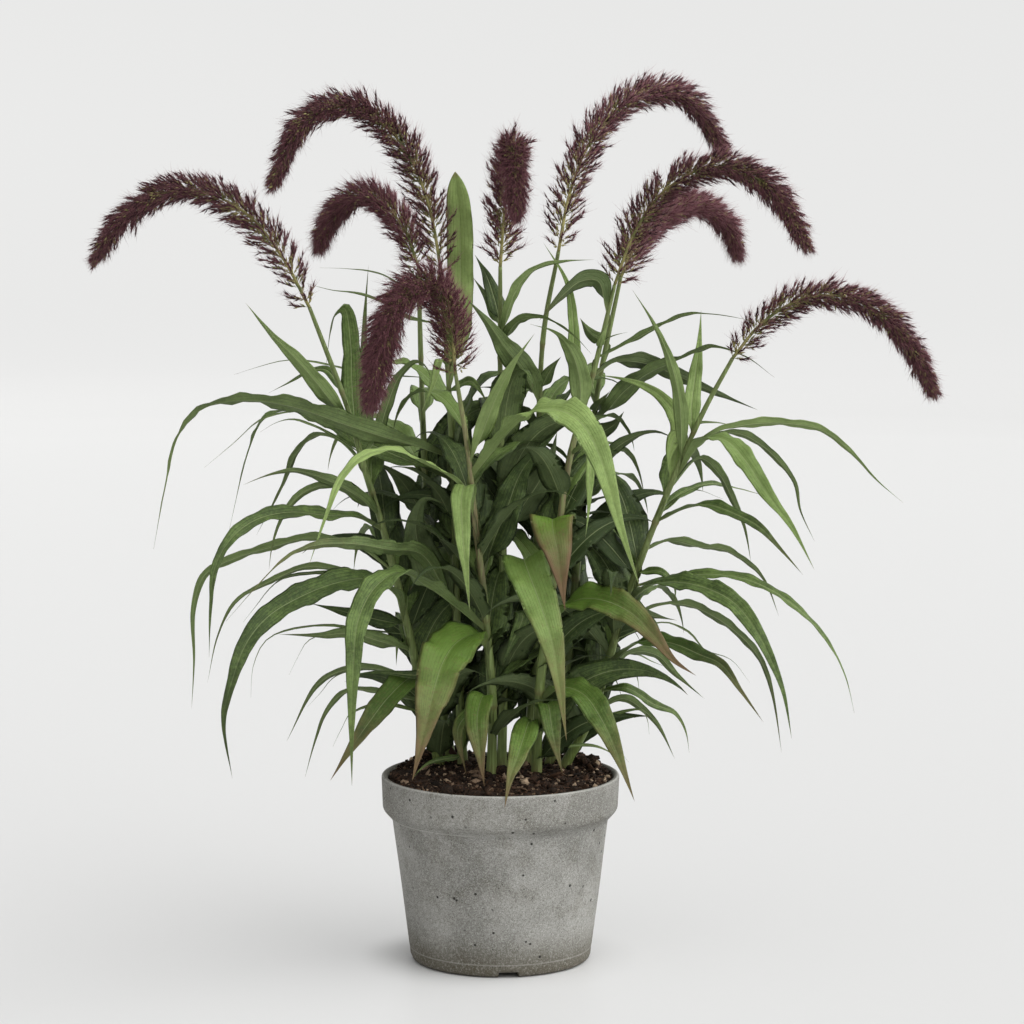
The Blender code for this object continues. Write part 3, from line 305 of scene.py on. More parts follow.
# Further leaves that only the finished plant has, narrower or deeper inside than the others
EXTRA_LEAVES = [
    Leaf("upper_left", 590, 10, (15, 15, 20), [(-60, 598, 0), (-66, 575, -14), (-78, 546, -22)],
        (0.7, 0.0)),
    Leaf("centre", 630, 14, (20, 15, 20), [(-10, 655, 30), (-27, 680, 34)]),
    Leaf("far_left", 530, 4, (45, 45, 45), [(-175, 545, 30), (-200, 548, 34), (-235, 540, 38),
        (-262, 517, 40), (-292, 492, 40)]),
    Leaf("far_left", 515, 5, (45, 45, 45), [(-180, 532, 44), (-205, 540, 52), (-222, 536, 56),
        (-237, 527, 58)]),
    Leaf("small_left", 575, 4, (45, 45, 45), [(-130, 585, 60), (-185, 597, 50), (-212, 598, 46),
        (-240, 591, 44), (-262, 584, 42)]),
    Leaf("small_left", 650, 3, (45, 45, 45), [(-107, 678, 70), (-125, 685, 66), (-150, 688, 62),
        (-177, 689, 58)]),
    Leaf("upper_left", 632, 6, (45, 45, 45), [(-90, 640, 10), (-115, 655, 4), (-140, 664, 0),
        (-165, 667, -2), (-191, 674, -2)]),
    Leaf("mid_right", 505, 13, (15, 15, 20), [(88, 515, -30), (88, 480, -44), (87, 450, -50),
        (84, 422, -52)], (0.7, 0.0)),
    Leaf("far_right", 520, 17, (15, 15, 20), [(174, 523, -22), (168, 511, -28), (165, 489, -32)],
        (0.9, 0.0)),
    Leaf("small_right", 610, 16, (20, 15, 20), [(88, 625, 60), (78, 640, 56)]),
    Leaf("small_right", 515, 18, (20, 15, 20), [(112, 535, 60), (122, 548, 56)], (0.1, 0.0)),
    Leaf("small_right", 540, 14, (20, 15, 20), [(98, 556, 50), (108, 568, 46)]),
    Leaf("upper_right", 565, 16, (20, 15, 20), [(50, 590, 30), (60, 602, 28)]),
    Leaf("mid_right", 600, 9, (20, 15, 20), [(100, 620, -6), (107, 636, -8)], (0.9, 0.0)),
    Leaf("mid_right", 606, 3, (45, 45, 45), [(110, 622, -12), (125, 626, -14)]),
    Leaf("small_right", 505, 16, (35, 30, 35), [(118, 515, 50), (150, 528, 44), (175, 520, 40)],
        (0.1, 0.0)),
    Leaf("far_right", 525, 4, (45, 45, 45), [(193, 535, 40), (210, 537, 50), (235, 532, 60)]),
    Leaf("far_right", 462, 6, (45, 45, 45), [(190, 470, 46), (220, 461, 60)]),
    Leaf("far_right", 325, 4, (45, 45, 45), [(160, 338, 40), (187, 328, 54), (203, 310, 64), (222, 304, 72),
        (232, 298, 78), (248, 277, 84)]),
    Leaf("far_right", 335, 12, (35, 30, 35), [(150, 345, 46), (175, 340, 60)], (0.15, 0.0)),
    Leaf("far_right", 385, 10, (20, 20, 20), [(160, 388, -20), (172, 375, -28), (173, 357, -30)]),
    Leaf("far_right", 295, 5, (45, 45, 45), [(118, 307, 46), (135, 306, 54), (150, 299, 62),
        (165, 293, 68)]),
    Leaf("far_right", 240, 5, (30, 30, 30), [(140, 250, 44), (146, 240, 48), (148, 225, 50)]),
    Leaf("far_right", 285, 5, (30, 30, 30), [(120, 297, 10), (127, 295, 8), (135, 285, 6), (138, 268, 4)]),
    Leaf("small_right", 222, 4, (30, 30, 30), [(95, 228, 58), (112, 216, 62), (128, 197, 64)]),
    Leaf("mid_right", 208, 5, (30, 30, 30), [(92, 214, 20), (112, 205, 22), (124, 189, 24)]),
    Leaf("far_left", 372, 7, (40, 40, 40), [(-140, 385, 50), (-190, 387, 62), (-215, 382, 70),
        (-230, 370, 76), (-240, 357, 80), (-255, 338, 84)], (0.15, 0.0)),
    Leaf("far_left", 455, 12, (30, 25, 30), [(-160, 476, -30), (-190, 470, -44), (-208, 455, -54),
        (-219, 435, -60), (-226, 412, -64), (-229, 390, -66)]),
    Leaf("far_left", 310, 4, (40, 40, 40), [(-170, 335, 20), (-230, 322, 14), (-245, 295, 10),
        (-248, 262, 8)]),
    Leaf("far_left", 330, 20, (25, 20, 25), [(-140, 345, 30), (-188, 357, 24)], (0.1, 0.0)),
    Leaf("far_left", 312, 3, (40, 40, 40), [(-150, 330, 50), (-190, 320, 58), (-200, 305, 60),
        (-210, 285, 62)]),
    Leaf("far_left", 268, 4, (40, 40, 40), [(-130, 292, 50), (-165, 283, 60), (-178, 268, 64),
        (-192, 253, 68)]),
    Leaf("far_left", 238, 5, (40, 40, 40), [(-120, 256, 50), (-150, 245, 60), (-157, 233, 62),
        (-167, 213, 66)]),
    Leaf("upper_left", 280, 12, (30, 25, 30), [(-85, 285, 20), (-125, 288, 26), (-150, 285, 30)],
        (0.15, 0.0)),
    Leaf("upper_left", 195, 8, (20, 20, 20), [(-70, 197, 0), (-80, 190, -10), (-88, 180, -16)]),
    Leaf("centre", 350, 20, (15, 10, 15), [(22, 345, 10), (10, 315, 0), (2, 295, -6)], (0.2, 0.0)),
]

# The finished surfaces, in millimetres: rings by sides, or rings by points across a leaf
POT_SEGMENTS = 240
PROFILE_STEP = 3.0
MOULD_LINE = 12.6
SOIL_SEGMENTS = 150
SOIL_RINGS = 46
SOIL_REACH = 111.9
HEAPS = ((132, 24), (42, 22))
GRAIN_SIDES = 5
GRAIN_UNEVENNESS = 0.22
HEAPED_SHARE = 0.14
CRUMB, BARK, GRIT = 0.0, 0.5, 1.0
COARSE_STEM = (24, 6)
FINE_STEM = (200, 20)
FOOT_IN_SOIL = 7.0
FOOT_FLARE = 0.5
MAIN_DETAIL = (72, 13)
SMALL_DETAIL = (40, 9)
INNER_DETAIL = (22, 7)
TIP_SHARE = 0.997
SHEATH_LENGTH = 18.0
SHEATH_SHARES = (0.0, 0.3, 0.55, 0.8)
TURN_SHARES = (0, 0.22, 0.55, 1)
FOLD_DEGREES = 13.0
COLLAR_DEGREES = 52.0
MATCH_WITHIN = 0.05
INNER_STRIDE = 5
INNER_RISE = 18

# How long a stem's joint and the sheath above it are, as shares of the stem's length, and how far
# they swell it
JOINT_SHARE = 0.006
SHEATH_SHARE = 0.17
JOINT_BUMP = 0.12
SHEATH_BUMP = 0.14

# A leaf's neck and where it ends, its widest place, and how late a point and a blunt end set in
NECK = 0.42
NECK_SWELL = 0.58
NECK_END = 0.28
WIDEST = 0.25
POINT_POWER = 1.3
BLUNT_POWER = 10
COLLAR_END = 0.16
POINT_THINNING = 0.45
BLADE_BULGE = 0.07
RIB_BREADTH = (0.3, 1.3)

# Where along its length a strand is thickest
STALK_SWELL = 0.15
SPIKELET_SWELL = 0.4
BRISTLE_SWELL = 0.1
STRAND_SIDES = 3
STALK_RADIUS = 0.38

# What the part attribute says of a plume's axis, stalks and husks, spikelets and bristles
AXIS_PART, STALK_PART, SPIKELET_PART, BRISTLE_PART = 0.0, 0.15, 0.5, 1.0

# Plumes: how full, how soft and how close each is, where that is not 1, 0 and 1
PLUME_LOOKS = {
    "front": (1.15, 1.0, 1.9), "small_left": (0.85, 0.8, 1.6), "small_right": (0.9, 0.9, 1.6),
    "centre": (1.0, 0.5, 1.3), "far_left": (0.95, 0.0, 1.0), "far_right": (0.88, 0.0, 1.0),
}
AXIS_SIDES = 8
DENSITY_SHARES = (0, 0.07, 0.2, 0.4, 0.65, 1)
DENSITIES = (0.14, 0.25, 0.4, 0.62, 0.9, 1)
PLUME_SHARES = (0, 0.06, 0.15, 0.4, 0.7, 0.9, 1)
TUFT_LEANS = (68, 56, 51, 49, 45, 38, 12)
TUFT_LENGTHS = (0.8, 1.1, 1.1, 1.0, 0.88, 0.6, 0.34)

# Stems with a tan stretch, from and to these shares of their height
TAN_STEMS = {"front": (0.4, 0.97), "mid_right": (0.4, 0.72)}

# The stage in metres, and its suns: turn from the front to the right, height and width in
# degrees, and strength
CAMERA_PITCH = 6.74
CAMERA_LENS = 121.92
COVE_RADIUS = 7.0
COVE_BEND = 1.5
COVE_HEIGHT = 1.7
COVE_SEGMENTS = 96
FLOOR_RINGS = np.array([1, 2.5, 4])
DAYLIGHT_STRENGTH = 0.44
SUNS = (("key", 78, 27, 90, 4.8), ("top", -10, 60, 80, 1.05))

# Leaves deep inside, which close the middle of the clump: the highest base on each stem
INNER_COUNT = 153
INNER_FOOT = 218
INNER_HEIGHTS = {
    "upper_left": 490, "centre": 520, "far_left": 400, "upper_right": 505, "mid_right": 470,
    "small_left": 470, "front": 430, "small_right": 455, "far_right": 405,
}
INNER_LENGTHS = (120, 235)
INNER_WIDTHS = (27, 46)
INNER_DROOPS = (5, 65)
INNER_BENDS = (1.3, 2.6)
LOW_INNER = 420
LOW_HEADINGS = (-35, 215)
INNER_HEADINGS = {"far_left": (-50, 75), "far_right": (105, 230)}
INNER_TURNS = (30, 14, 22)
INNER_SHORTENING = 0.4
INNER_CLEARANCE = 2.2


def unit(vectors):
    """The vectors divided by their lengths."""
    return vectors / np.linalg.norm(vectors, axis=-1, keepdims=True)


def smooth(value, low=0.0, high=1.0):
    """0 below low, 1 above high, and an even S-curve between."""
    share = np.clip((value - low) / (high - low), 0, 1)
    return share * share * (3 - 2 * share)


def between(limits, share):
    """The value at a share of the way from the first limit to the second."""
    return limits[0] + (limits[1] - limits[0]) * share


def placed(point):
    """A point (across, up, back) as (x, y, z) in millimetres."""
    across, up, back = point
    flat = np.array([across, 0.0, up])
    return EYE + (flat - EYE) * (-EYE[1] + back) / -EYE[1]


def curve_through(points):
    """Evenly spaced points on a smooth curve through the given ones, and its length: cubic spans
    whose slopes are central differences over the root of the chord length."""
    points = np.asarray(points, float)
    knots = np.concatenate([[0], np.cumsum(np.sqrt(np.linalg.norm(np.diff(points, axis=0), axis=1)))])
    slopes = np.gradient(points, knots, axis=0)
    at = np.linspace(0, knots[-1], 8 * SAMPLES)
    span = np.clip(np.searchsorted(knots, at, side="right") - 1, 0, len(knots) - 2)
    size = (knots[span + 1] - knots[span])[:, None]
    t = (at - knots[span])[:, None] / size
    dense = (
        (1 + 2 * t) * (1 - t) ** 2 * points[span]
        + t * (1 - t) ** 2 * size * slopes[span]
        + t**2 * (3 - 2 * t) * points[span + 1]
        + t**2 * (t - 1) * size * slopes[span + 1]
    )
    run = np.concatenate([[0], np.cumsum(np.linalg.norm(np.diff(dense, axis=0), axis=1))])
    even = np.linspace(0, run[-1], SAMPLES)
    return np.stack([np.interp(even, run, dense[:, axis]) for axis in range(3)], axis=1), run[-1]


def tangents_of(curve):
    """The directions along a curve, from the differences between its points."""
    return unit(np.gradient(curve, axis=0))


def carried(start, vector, tangents):
    """The vector carried from station start to both ends of the curve with no twist."""
    sides = np.empty_like(tangents)
    sides[start] = unit(vector - tangents[start] * (vector @ tangents[start]))
    order = [(i, i - 1) for i in range(start + 1, len(tangents))]
    order += [(i, i + 1) for i in range(start - 1, -1, -1)]
    for station, before in order:
        side = sides[before] - tangents[station] * (sides[before] @ tangents[station])
        sides[station] = side / np.linalg.norm(side)
    return sides


def at_fractions(values, fractions):
    """The rows of an evenly spaced list read at the given fractions of its length."""
    even = np.linspace(0, 1, len(values))
    return np.stack([np.interp(fractions, even, values[:, axis]) for axis in range(3)], axis=1)


def soil_height(x, y):
    """The soil's surface: a low mound with two slow waves."""
    radius = np.hypot(x, y) / RIM_RADIUS
    return SOIL_EDGE + SOIL_MOUND * (1 - radius**2) + 0.7 * np.sin(x / 21) * np.cos(y / 17)


def stem_radius(fraction):
    """From the foot's radius to the top's, by a power of the share of the stem's length."""
    return STEM_FOOT_RADIUS + (STEM_TOP_RADIUS - STEM_FOOT_RADIUS) * fraction**STEM_TAPER


@lru_cache(maxsize=None)
def stem_curve(name):
    """A stem's evenly spaced centre line, from just above the soil to its plume."""
    x, y = STEMS[name].foot
    foot = np.array([x, y, soil_height(x, y) + SOIL_GAP + 0.5])
    return curve_through([foot] + [placed(point) for point in STEMS[name].route])[0]


def on_stem(name, height):
    """The point of a stem's centre line at a height."""
    curve = stem_curve(name)
    return np.array([np.interp(height, curve[:, 2], curve[:, axis]) for axis in range(3)])


def leaf_route(leaf, lean, rise, clear_of_stem):
    """The leaf's evenly spaced centre line from its stem, its length, and the way that its base
    faces. Lean slides it back and forth along the line of sight, more so further out."""
    height = leaf.at + rise
    base = on_stem(leaf.stem, height)
    weight = smooth(np.arange(1, len(leaf.route) + 1) / len(leaf.route) / 0.45)
    route = [placed((x, z, back + lean * w)) for (x, z, back), w in zip(leaf.route, weight)]
    outward = unit((route[0] - base) * (1, 1, 0))
    if clear_of_stem:
        fraction = np.interp(height, stem_curve(leaf.stem)[:, 2], np.linspace(0, 1, SAMPLES))
        base = base + outward * (stem_radius(fraction) * JOINT_SWELL + LEAF_THICKNESS)
    return *curve_through([base] + route), outward


def spray_route(spray, lean, rise):
    """The same for a leaf that leaves its stem at the rise angle and bends over to the droop angle,
    the later the larger the bend is. Lean turns its heading."""
    base = on_stem(spray.stem, spray.at + rise)
    heading = math.radians(spray.heading + 0.6 * lean)
    outward = np.array([math.cos(heading), math.sin(heading), 0])
    along = np.linspace(0, 1, SAMPLES)
    slope = np.radians(spray.rise - (spray.rise + spray.droop) * along**spray.bend)
    step = spray.length / (SAMPLES - 1)
    out, up = (np.concatenate([[0], np.cumsum(way(slope[1:]) * step)])[:, None] for way in (np.cos, np.sin))
    return base + out * outward + up * (0, 0, 1), spray.length, outward


def blade_sides(line, outward, turns):
    """The line's tangents and the blade's breadth at each station. At the base its upper face looks
    up and towards the stem. From there it twists by the least angle that shows the turns."""
    tangents = tangents_of(line)
    inward = np.array([0.0, 0.0, 1.0]) - outward
    upper = unit(inward - tangents[0] * (inward @ tangents[0]))
    first = np.cross(tangents[0], upper)
    if turns is None:
        return tangents, carried(0, first, tangents)
    middle = len(line) // 2
    broad = carried(middle, np.cross(tangents[middle], unit(line[middle] - EYE)), tangents)
    edge = np.cross(tangents, broad)
    angles = [math.degrees(math.atan2(first @ edge[0], first @ broad[0]))]
    for turn in turns:
        options = [sign * turn + half * 180 for sign in (-1, 1) for half in (-2, -1, 0, 1, 2)]
        angles.append(min(options, key=lambda option: abs(option - angles[-1])))
    angle = np.radians(np.interp(np.linspace(0, 1, len(line)), TURN_SHARES, angles))[:, None]
    return tangents, np.cos(angle) * broad + np.sin(angle) * edge


def breadth(fractions, leaf):
    """The leaf's breadth: a narrow neck, the widest part at a quarter, and a long point."""
    neck = NECK + NECK_SWELL * np.sin(np.pi / 2 * np.minimum(1, fractions / NECK_END))
    past = np.clip((fractions - WIDEST) / (1 - WIDEST), 0, 1)
    return leaf.width * neck * (1 - past ** (BLUNT_POWER if leaf.blunt else POINT_POWER))


def plain_blade(route, leaf, grow=0.0):
    """The frame's form of a blade: rings of left edge, upper keel, right edge and lower keel."""
    line, length, outward = route
    tangents, sides = blade_sides(line, outward, leaf.turns)
    rings = BACK_RINGS if leaf.turns is None else int(np.clip(round(length / 70) + 3, 5, 9))
    fractions = np.linspace(0, 1, rings + 1)[:-1]
    centres = at_fractions(line, fractions)
    side = unit(at_fractions(sides, fractions))
    over = np.cross(side, unit(at_fractions(tangents, fractions)))
    half = (breadth(fractions, leaf) / 2)[:, None]
    lift = over * half * LEAF_FOLD
    thick = over * (LEAF_THICKNESS / 2 + grow)
    reach = half + grow
    left, right = centres - side * reach + lift, centres + side * reach + lift
    ring = np.stack([left, centres + thick, right, centres - thick], axis=1)
    return np.concatenate([ring.reshape(-1, 3), line[-1:]])


def plain_tree(route, leaf, grow=0.0):
    """The surface of a plain blade, for telling where it cuts others."""
    points = plain_blade(route, leaf, grow)
    rings = len(points) // 4
    faces = [(0, 1, 3), (1, 2, 3)]
    for low in range(0, (rings - 1) * 4, 4):
        left, upper, right, lower = range(low, low + 4)
        faces += [(left, upper, upper + 4), (left, upper + 4, left + 4)]
        faces += [(upper, right, upper + 4), (right, right + 4, upper + 4)]
        faces += [(right, lower, lower + 4), (right, lower + 4, right + 4)]
        faces += [(lower, left, lower + 4), (left, left + 4, lower + 4)]
    last, tip = (rings - 1) * 4, rings * 4
    faces += [(last + i, last + (i + 1) % 4, tip) for i in range(4)]
    return tree_of(points, faces)


def tree_of(points, faces):
    return BVHTree.FromPolygons(points.tolist(), faces), points.min(axis=0), points.max(axis=0)


def meets(one, others):
    """Whether a shape's surface cuts that of any of the others."""
    near = (other for other in others if (one[1] <= other[2]).all() and (other[1] <= one[2]).all())
    return any(one[0].overlap(other[0]) for other in near)


@lru_cache(maxsize=None)
def leanings():
    """Pairs of lean and rise in millimetres, the mildest first."""
    pairs = [(lean, rise) for lean in range(-120, 121, 8) for rise in range(-54, 55, 9)]
    return sorted(pairs, key=lambda pair: (abs(pair[0]) + 1.4 * abs(pair[1]), pair))


@lru_cache(maxsize=None)
def node_mesh(node):
    """The corners (mm) and faces of one of the frame's nodes."""
    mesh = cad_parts[node].data
    corners = np.empty(len(mesh.vertices) * 3)
    mesh.vertices.foreach_get("co", corners)
    return corners.reshape(-1, 3) / MM, [tuple(face.vertices) for face in mesh.polygons]


def are_corners(points, corners):
    """Whether each of the points is one of the corners."""
    gaps = np.linalg.norm(points[:, None] - corners, axis=2).min(axis=1)
    return gaps.max() < MATCH_WITHIN


def in_frame(node, leaf, route, *details):
    """The blade at the mildest lean and rise at which its plain form's corners are the node's."""
    corners = node_mesh(node)[0]
    for lean, rise in leanings():
        trial = route(leaf, lean, rise, *details)
        if are_corners(trial[0][-1:], corners) and are_corners(plain_blade(trial, leaf)[4:], corners):
            return Blade(trial, leaf)
    raise ValueError(f"{node} has no leaf where the routes put one")


@lru_cache(maxsize=None)
def main_blades():
    return [in_frame(f"leaf_{name}", leaf, leaf_route, True) for name, leaf in MAIN_LEAVES.items()]


@lru_cache(maxsize=None)
def small_blades():
    return [in_frame(f"stem_{leaf.stem}", leaf, leaf_route, False) for leaf in SMALL_LEAVES]


def golden_shares(count, *steps):
    """Shares that spread evenly as the count goes up."""
    return [(GOLDEN * (count + 1) * step) % 1 for step in steps]


@lru_cache(maxsize=None)
def back_blades():
    """The leaves of the back, spread by the golden ratio in heading, length and width."""
    blades = []
    for level, height in enumerate(BACK_HEIGHTS):
        for place, stem in enumerate(STEMS):
            share = golden_shares(level * len(STEMS) + place, 1, 2, 3)
            drop = SHORT_STEM_DROP * level if stem in SHORT_STEMS else 0
            spray = Spray(
                stem,
                height - drop + 30 * share[2],
                between(BACK_HEADINGS, share[0]),
                between(BACK_LENGTHS, share[1]) * (1 - BACK_SHORTENING * level),
                between(BACK_WIDTHS, share[2]),
                50 + 20 * share[1],
                (0.25 + 0.4 * share[0], 0.15 * share[1]),
            )
            blades.append(in_frame(f"stem_{stem}", spray, spray_route))
    return blades


@lru_cache(maxsize=None)
def firm():
    """The surfaces of the pot, the plumes and the frame's leaves of the front and sides."""
    surfaces = [tree_of(*node_mesh(node)) for node in ["pot"] + [f"plume_{name}" for name in STEMS]]
    return surfaces + [plain_tree(*blade) for blade in main_blades() + small_blades()]


def extra_blades():
    """The further leaves, each at the mildest lean and rise at which it cuts nothing but its stem."""
    surfaces = firm() + [tree_of(*node_mesh("soil"))] + [plain_tree(*blade) for blade in back_blades()]
    stems = {}
    for name in STEMS:
        shape = stem_surface(name, COARSE_STEM)
        stems[name] = tree_of(shape.points, shape.quads.tolist() + shape.triangles.tolist())
    blades = []
    for leaf in EXTRA_LEAVES:
        others = surfaces + [tree for name, tree in stems.items() if name != leaf.stem]
        for lean, rise in leanings() + [(0, 0)]:
            route = leaf_route(leaf, lean, rise, False)
            tree = plain_tree(route, leaf, LEAF_CLEARANCE)
            if not meets(tree, others):
                break
        surfaces.append(tree)
        blades.append(Blade(route, leaf))
    return blades


def inner_blades():
    """Dark leaves all round the middle, spread by the golden ratio. They may touch the stems and,
    but for the outermost, those of other stems. One that would cut anything else at every lean is
    left out."""
    names = list(INNER_HEIGHTS)
    inside = {name: [] for name in names}
    blades = []
    for count in range(INNER_COUNT):
        stem = names[count % len(names)]
        share = golden_shares(count, 1, 2, 3, 5)
        height = between((INNER_FOOT, INNER_HEIGHTS[stem]), share[2])
        shorter = 1 - INNER_SHORTENING * (height - INNER_FOOT) / (INNER_HEIGHTS["centre"] - INNER_FOOT)
        headings = INNER_HEADINGS.get(stem, LOW_HEADINGS if height < LOW_INNER else (0, 360))
        spray = Spray(
            stem,
            height,
            between(headings, share[0]),
            between(INNER_LENGTHS, share[1]) * shorter,
            between(INNER_WIDTHS, share[3]),
            50 + 30 * share[3],
            # A low tone: partly the leaves' own darker green, partly painted shade deep in the clump
            (0.3 * share[3] - 0.05, 0.0),
            INNER_TURNS if count % 3 else None,
            between(INNER_DROOPS, share[1]),
            between(INNER_BENDS, share[2]),
        )
        apart = names if stem in INNER_HEADINGS else (stem, *INNER_HEADINGS)
        others = firm() + [tree for name in apart for tree in inside[name]]
        for lean, rise in leanings()[::INNER_STRIDE]:
            if rise > INNER_RISE:
                continue
            route = spray_route(spray, lean, rise)
            tree = plain_tree(route, spray, INNER_CLEARANCE)
            if not meets(tree, others):
                inside[stem].append(tree)
                blades.append(Blade(route, spray))
                break
    return blades


def shells(rings, values, pointed=False):
    """Closed shells from an array of shells by rings by sides by three: quads between rings, and a
    fan to a pole in the middle of the first and the last ring. On pointed shells those two rings
    are only their poles."""
    count, stations, sides = rings.shape[:3]
    body = slice(1, -1) if pointed else slice(None)
    stations = len(range(stations)[body])
    size = stations * sides + 2

    def with_poles(grid):
        first, last = grid[:, :1].mean(axis=2), grid[:, -1:].mean(axis=2)
        return np.concatenate([first, grid[:, body].reshape(count, stations * sides, -1), last], axis=1)

    side = np.arange(sides)
    after = (side + 1) % sides
    low = 1 + np.arange(stations - 1)[:, None] * sides
    quads = np.stack([low + side, low + after, low + sides + after, low + sides + side], axis=-1)
    last = 1 + (stations - 1) * sides
    start_fan = np.stack([0 * side, after + 1, side + 1], axis=1)
    end_fan = np.stack([last + side, last + after, 0 * side + size - 1], axis=1)
    triangles = np.concatenate([start_fan, end_fan])
    offset = np.arange(count)[:, None, None] * size
    spread_values = {
        name: with_poles(np.broadcast_to(value, rings.shape[:3])[..., None]).reshape(-1)
        for name, value in values.items()
    }
    return Shape(
        with_poles(rings).reshape(-1, 3),
        (quads.reshape(-1, 4) + offset).reshape(-1, 4),
        (triangles + offset).reshape(-1, 3),
        spread_values,
    )


def joined(shapes):
    """Several shapes as one, each keeping its own points."""
    starts = np.cumsum([0] + [len(shape.points) for shape in shapes[:-1]])
    return Shape(
        np.concatenate([shape.points for shape in shapes]),
        np.concatenate([shape.quads + start for shape, start in zip(shapes, starts)]),
        np.concatenate([shape.triangles + start for shape, start in zip(shapes, starts)]),
        {name: np.concatenate([shape.values[name] for shape in shapes]) for name in shapes[0].values},
    )


def add(thing):
    """Links an object to the scene."""
    bpy.context.scene.collection.objects.link(thing)
    return thing


def piece(name, shape, material, slot, *nodes):
    """A mesh object of a shape, with its values as attributes, in place of the frame's nodes."""
    mesh = bpy.data.meshes.new(name)
    mesh.vertices.add(len(shape.points))
    mesh.vertices.foreach_set("co", (shape.points * MM).astype(np.float32).ravel())
    corners = np.concatenate([shape.quads.ravel(), shape.triangles.ravel()]).astype(np.int32)
    mesh.loops.add(len(corners))
    mesh.loops.foreach_set("vertex_index", corners)
    quads, triangles = len(shape.quads), len(shape.triangles)
    mesh.polygons.add(quads + triangles)
    starts = np.concatenate([np.arange(quads) * 4, quads * 4 + np.arange(triangles) * 3])
    mesh.polygons.foreach_set("loop_start", starts.astype(np.int32))
    mesh.update(calc_edges=True)
    mesh.validate()
    mesh.shade_smooth()
    for key, value in shape.values.items():
        mesh.attributes.new(key, "FLOAT", "POINT").data.foreach_set("value", value.astype(np.float32))
    mesh.materials.append(material)
    thing = add(bpy.data.objects.new(name, mesh))
    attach(thing, "root")
    if nodes:
        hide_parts(*nodes)


def tube(centres, tangents, radii, sides):
    """Rings round the centres: each point is its centre plus the radius along a direction that
    turns once round the tangent, with no twist from ring to ring."""
    across = carried(0, np.array([1.0, 0.2, 0.0]), tangents)
    over = np.cross(tangents, across)
    angle = 2 * np.pi * np.arange(sides) / sides
    way = np.cos(angle)[:, None] * across[:, None] + np.sin(angle)[:, None] * over[:, None]
    return centres[:, None] + radii[:, None, None] * way


def stem_surface(name, detail):
    """A stem as a tube of rings by sides. Its radius has a bump at each joint, e to the minus square
    of the distance from it, and above each joint a leaf sheath that thins out to nothing."""
    rings, sides = detail
    fractions = np.linspace(0, 1, rings)
    centres = at_fractions(stem_curve(name), fractions)
    tangents = unit(at_fractions(tangents_of(stem_curve(name)), fractions))
    radii = stem_radius(fractions)
    joint = np.zeros(rings)
    sheath = np.zeros(rings)
    for count in range(STEM_JOINTS):
        past = fractions - (count + 0.75) / (STEM_JOINTS + 0.6)
        joint = np.maximum(joint, np.exp(-((past / JOINT_SHARE) ** 2)))
        sheath = np.maximum(sheath, np.where(past > 0, np.clip(1 - past / SHEATH_SHARE, 0, 1), 0))
    radii = radii * (1 + JOINT_BUMP * joint + SHEATH_BUMP * sheath**0.5)
    radii = radii + FOOT_FLARE * (1 - smooth(fractions, 0, 0.04))
    tan_from, tan_to = TAN_STEMS.get(name, (2, 3))
    tan = smooth(fractions, tan_from, tan_from + 0.12) * (1 - smooth(fractions, tan_to - 0.1, tan_to))
    centres = np.concatenate([centres[:1] - (0, 0, FOOT_IN_SOIL), centres])
    tangents = np.concatenate([[(0.0, 0.0, 1.0)], tangents])
    repeated = np.maximum(np.arange(-1, rings), 0)
    values = {"along": fractions, "joint": joint, "sheath": sheath, "tan": tan}
    values = {key: value[repeated][None, :, None] for key, value in values.items()}
    return shells(tube(centres, tangents, radii[repeated], sides)[None], values)


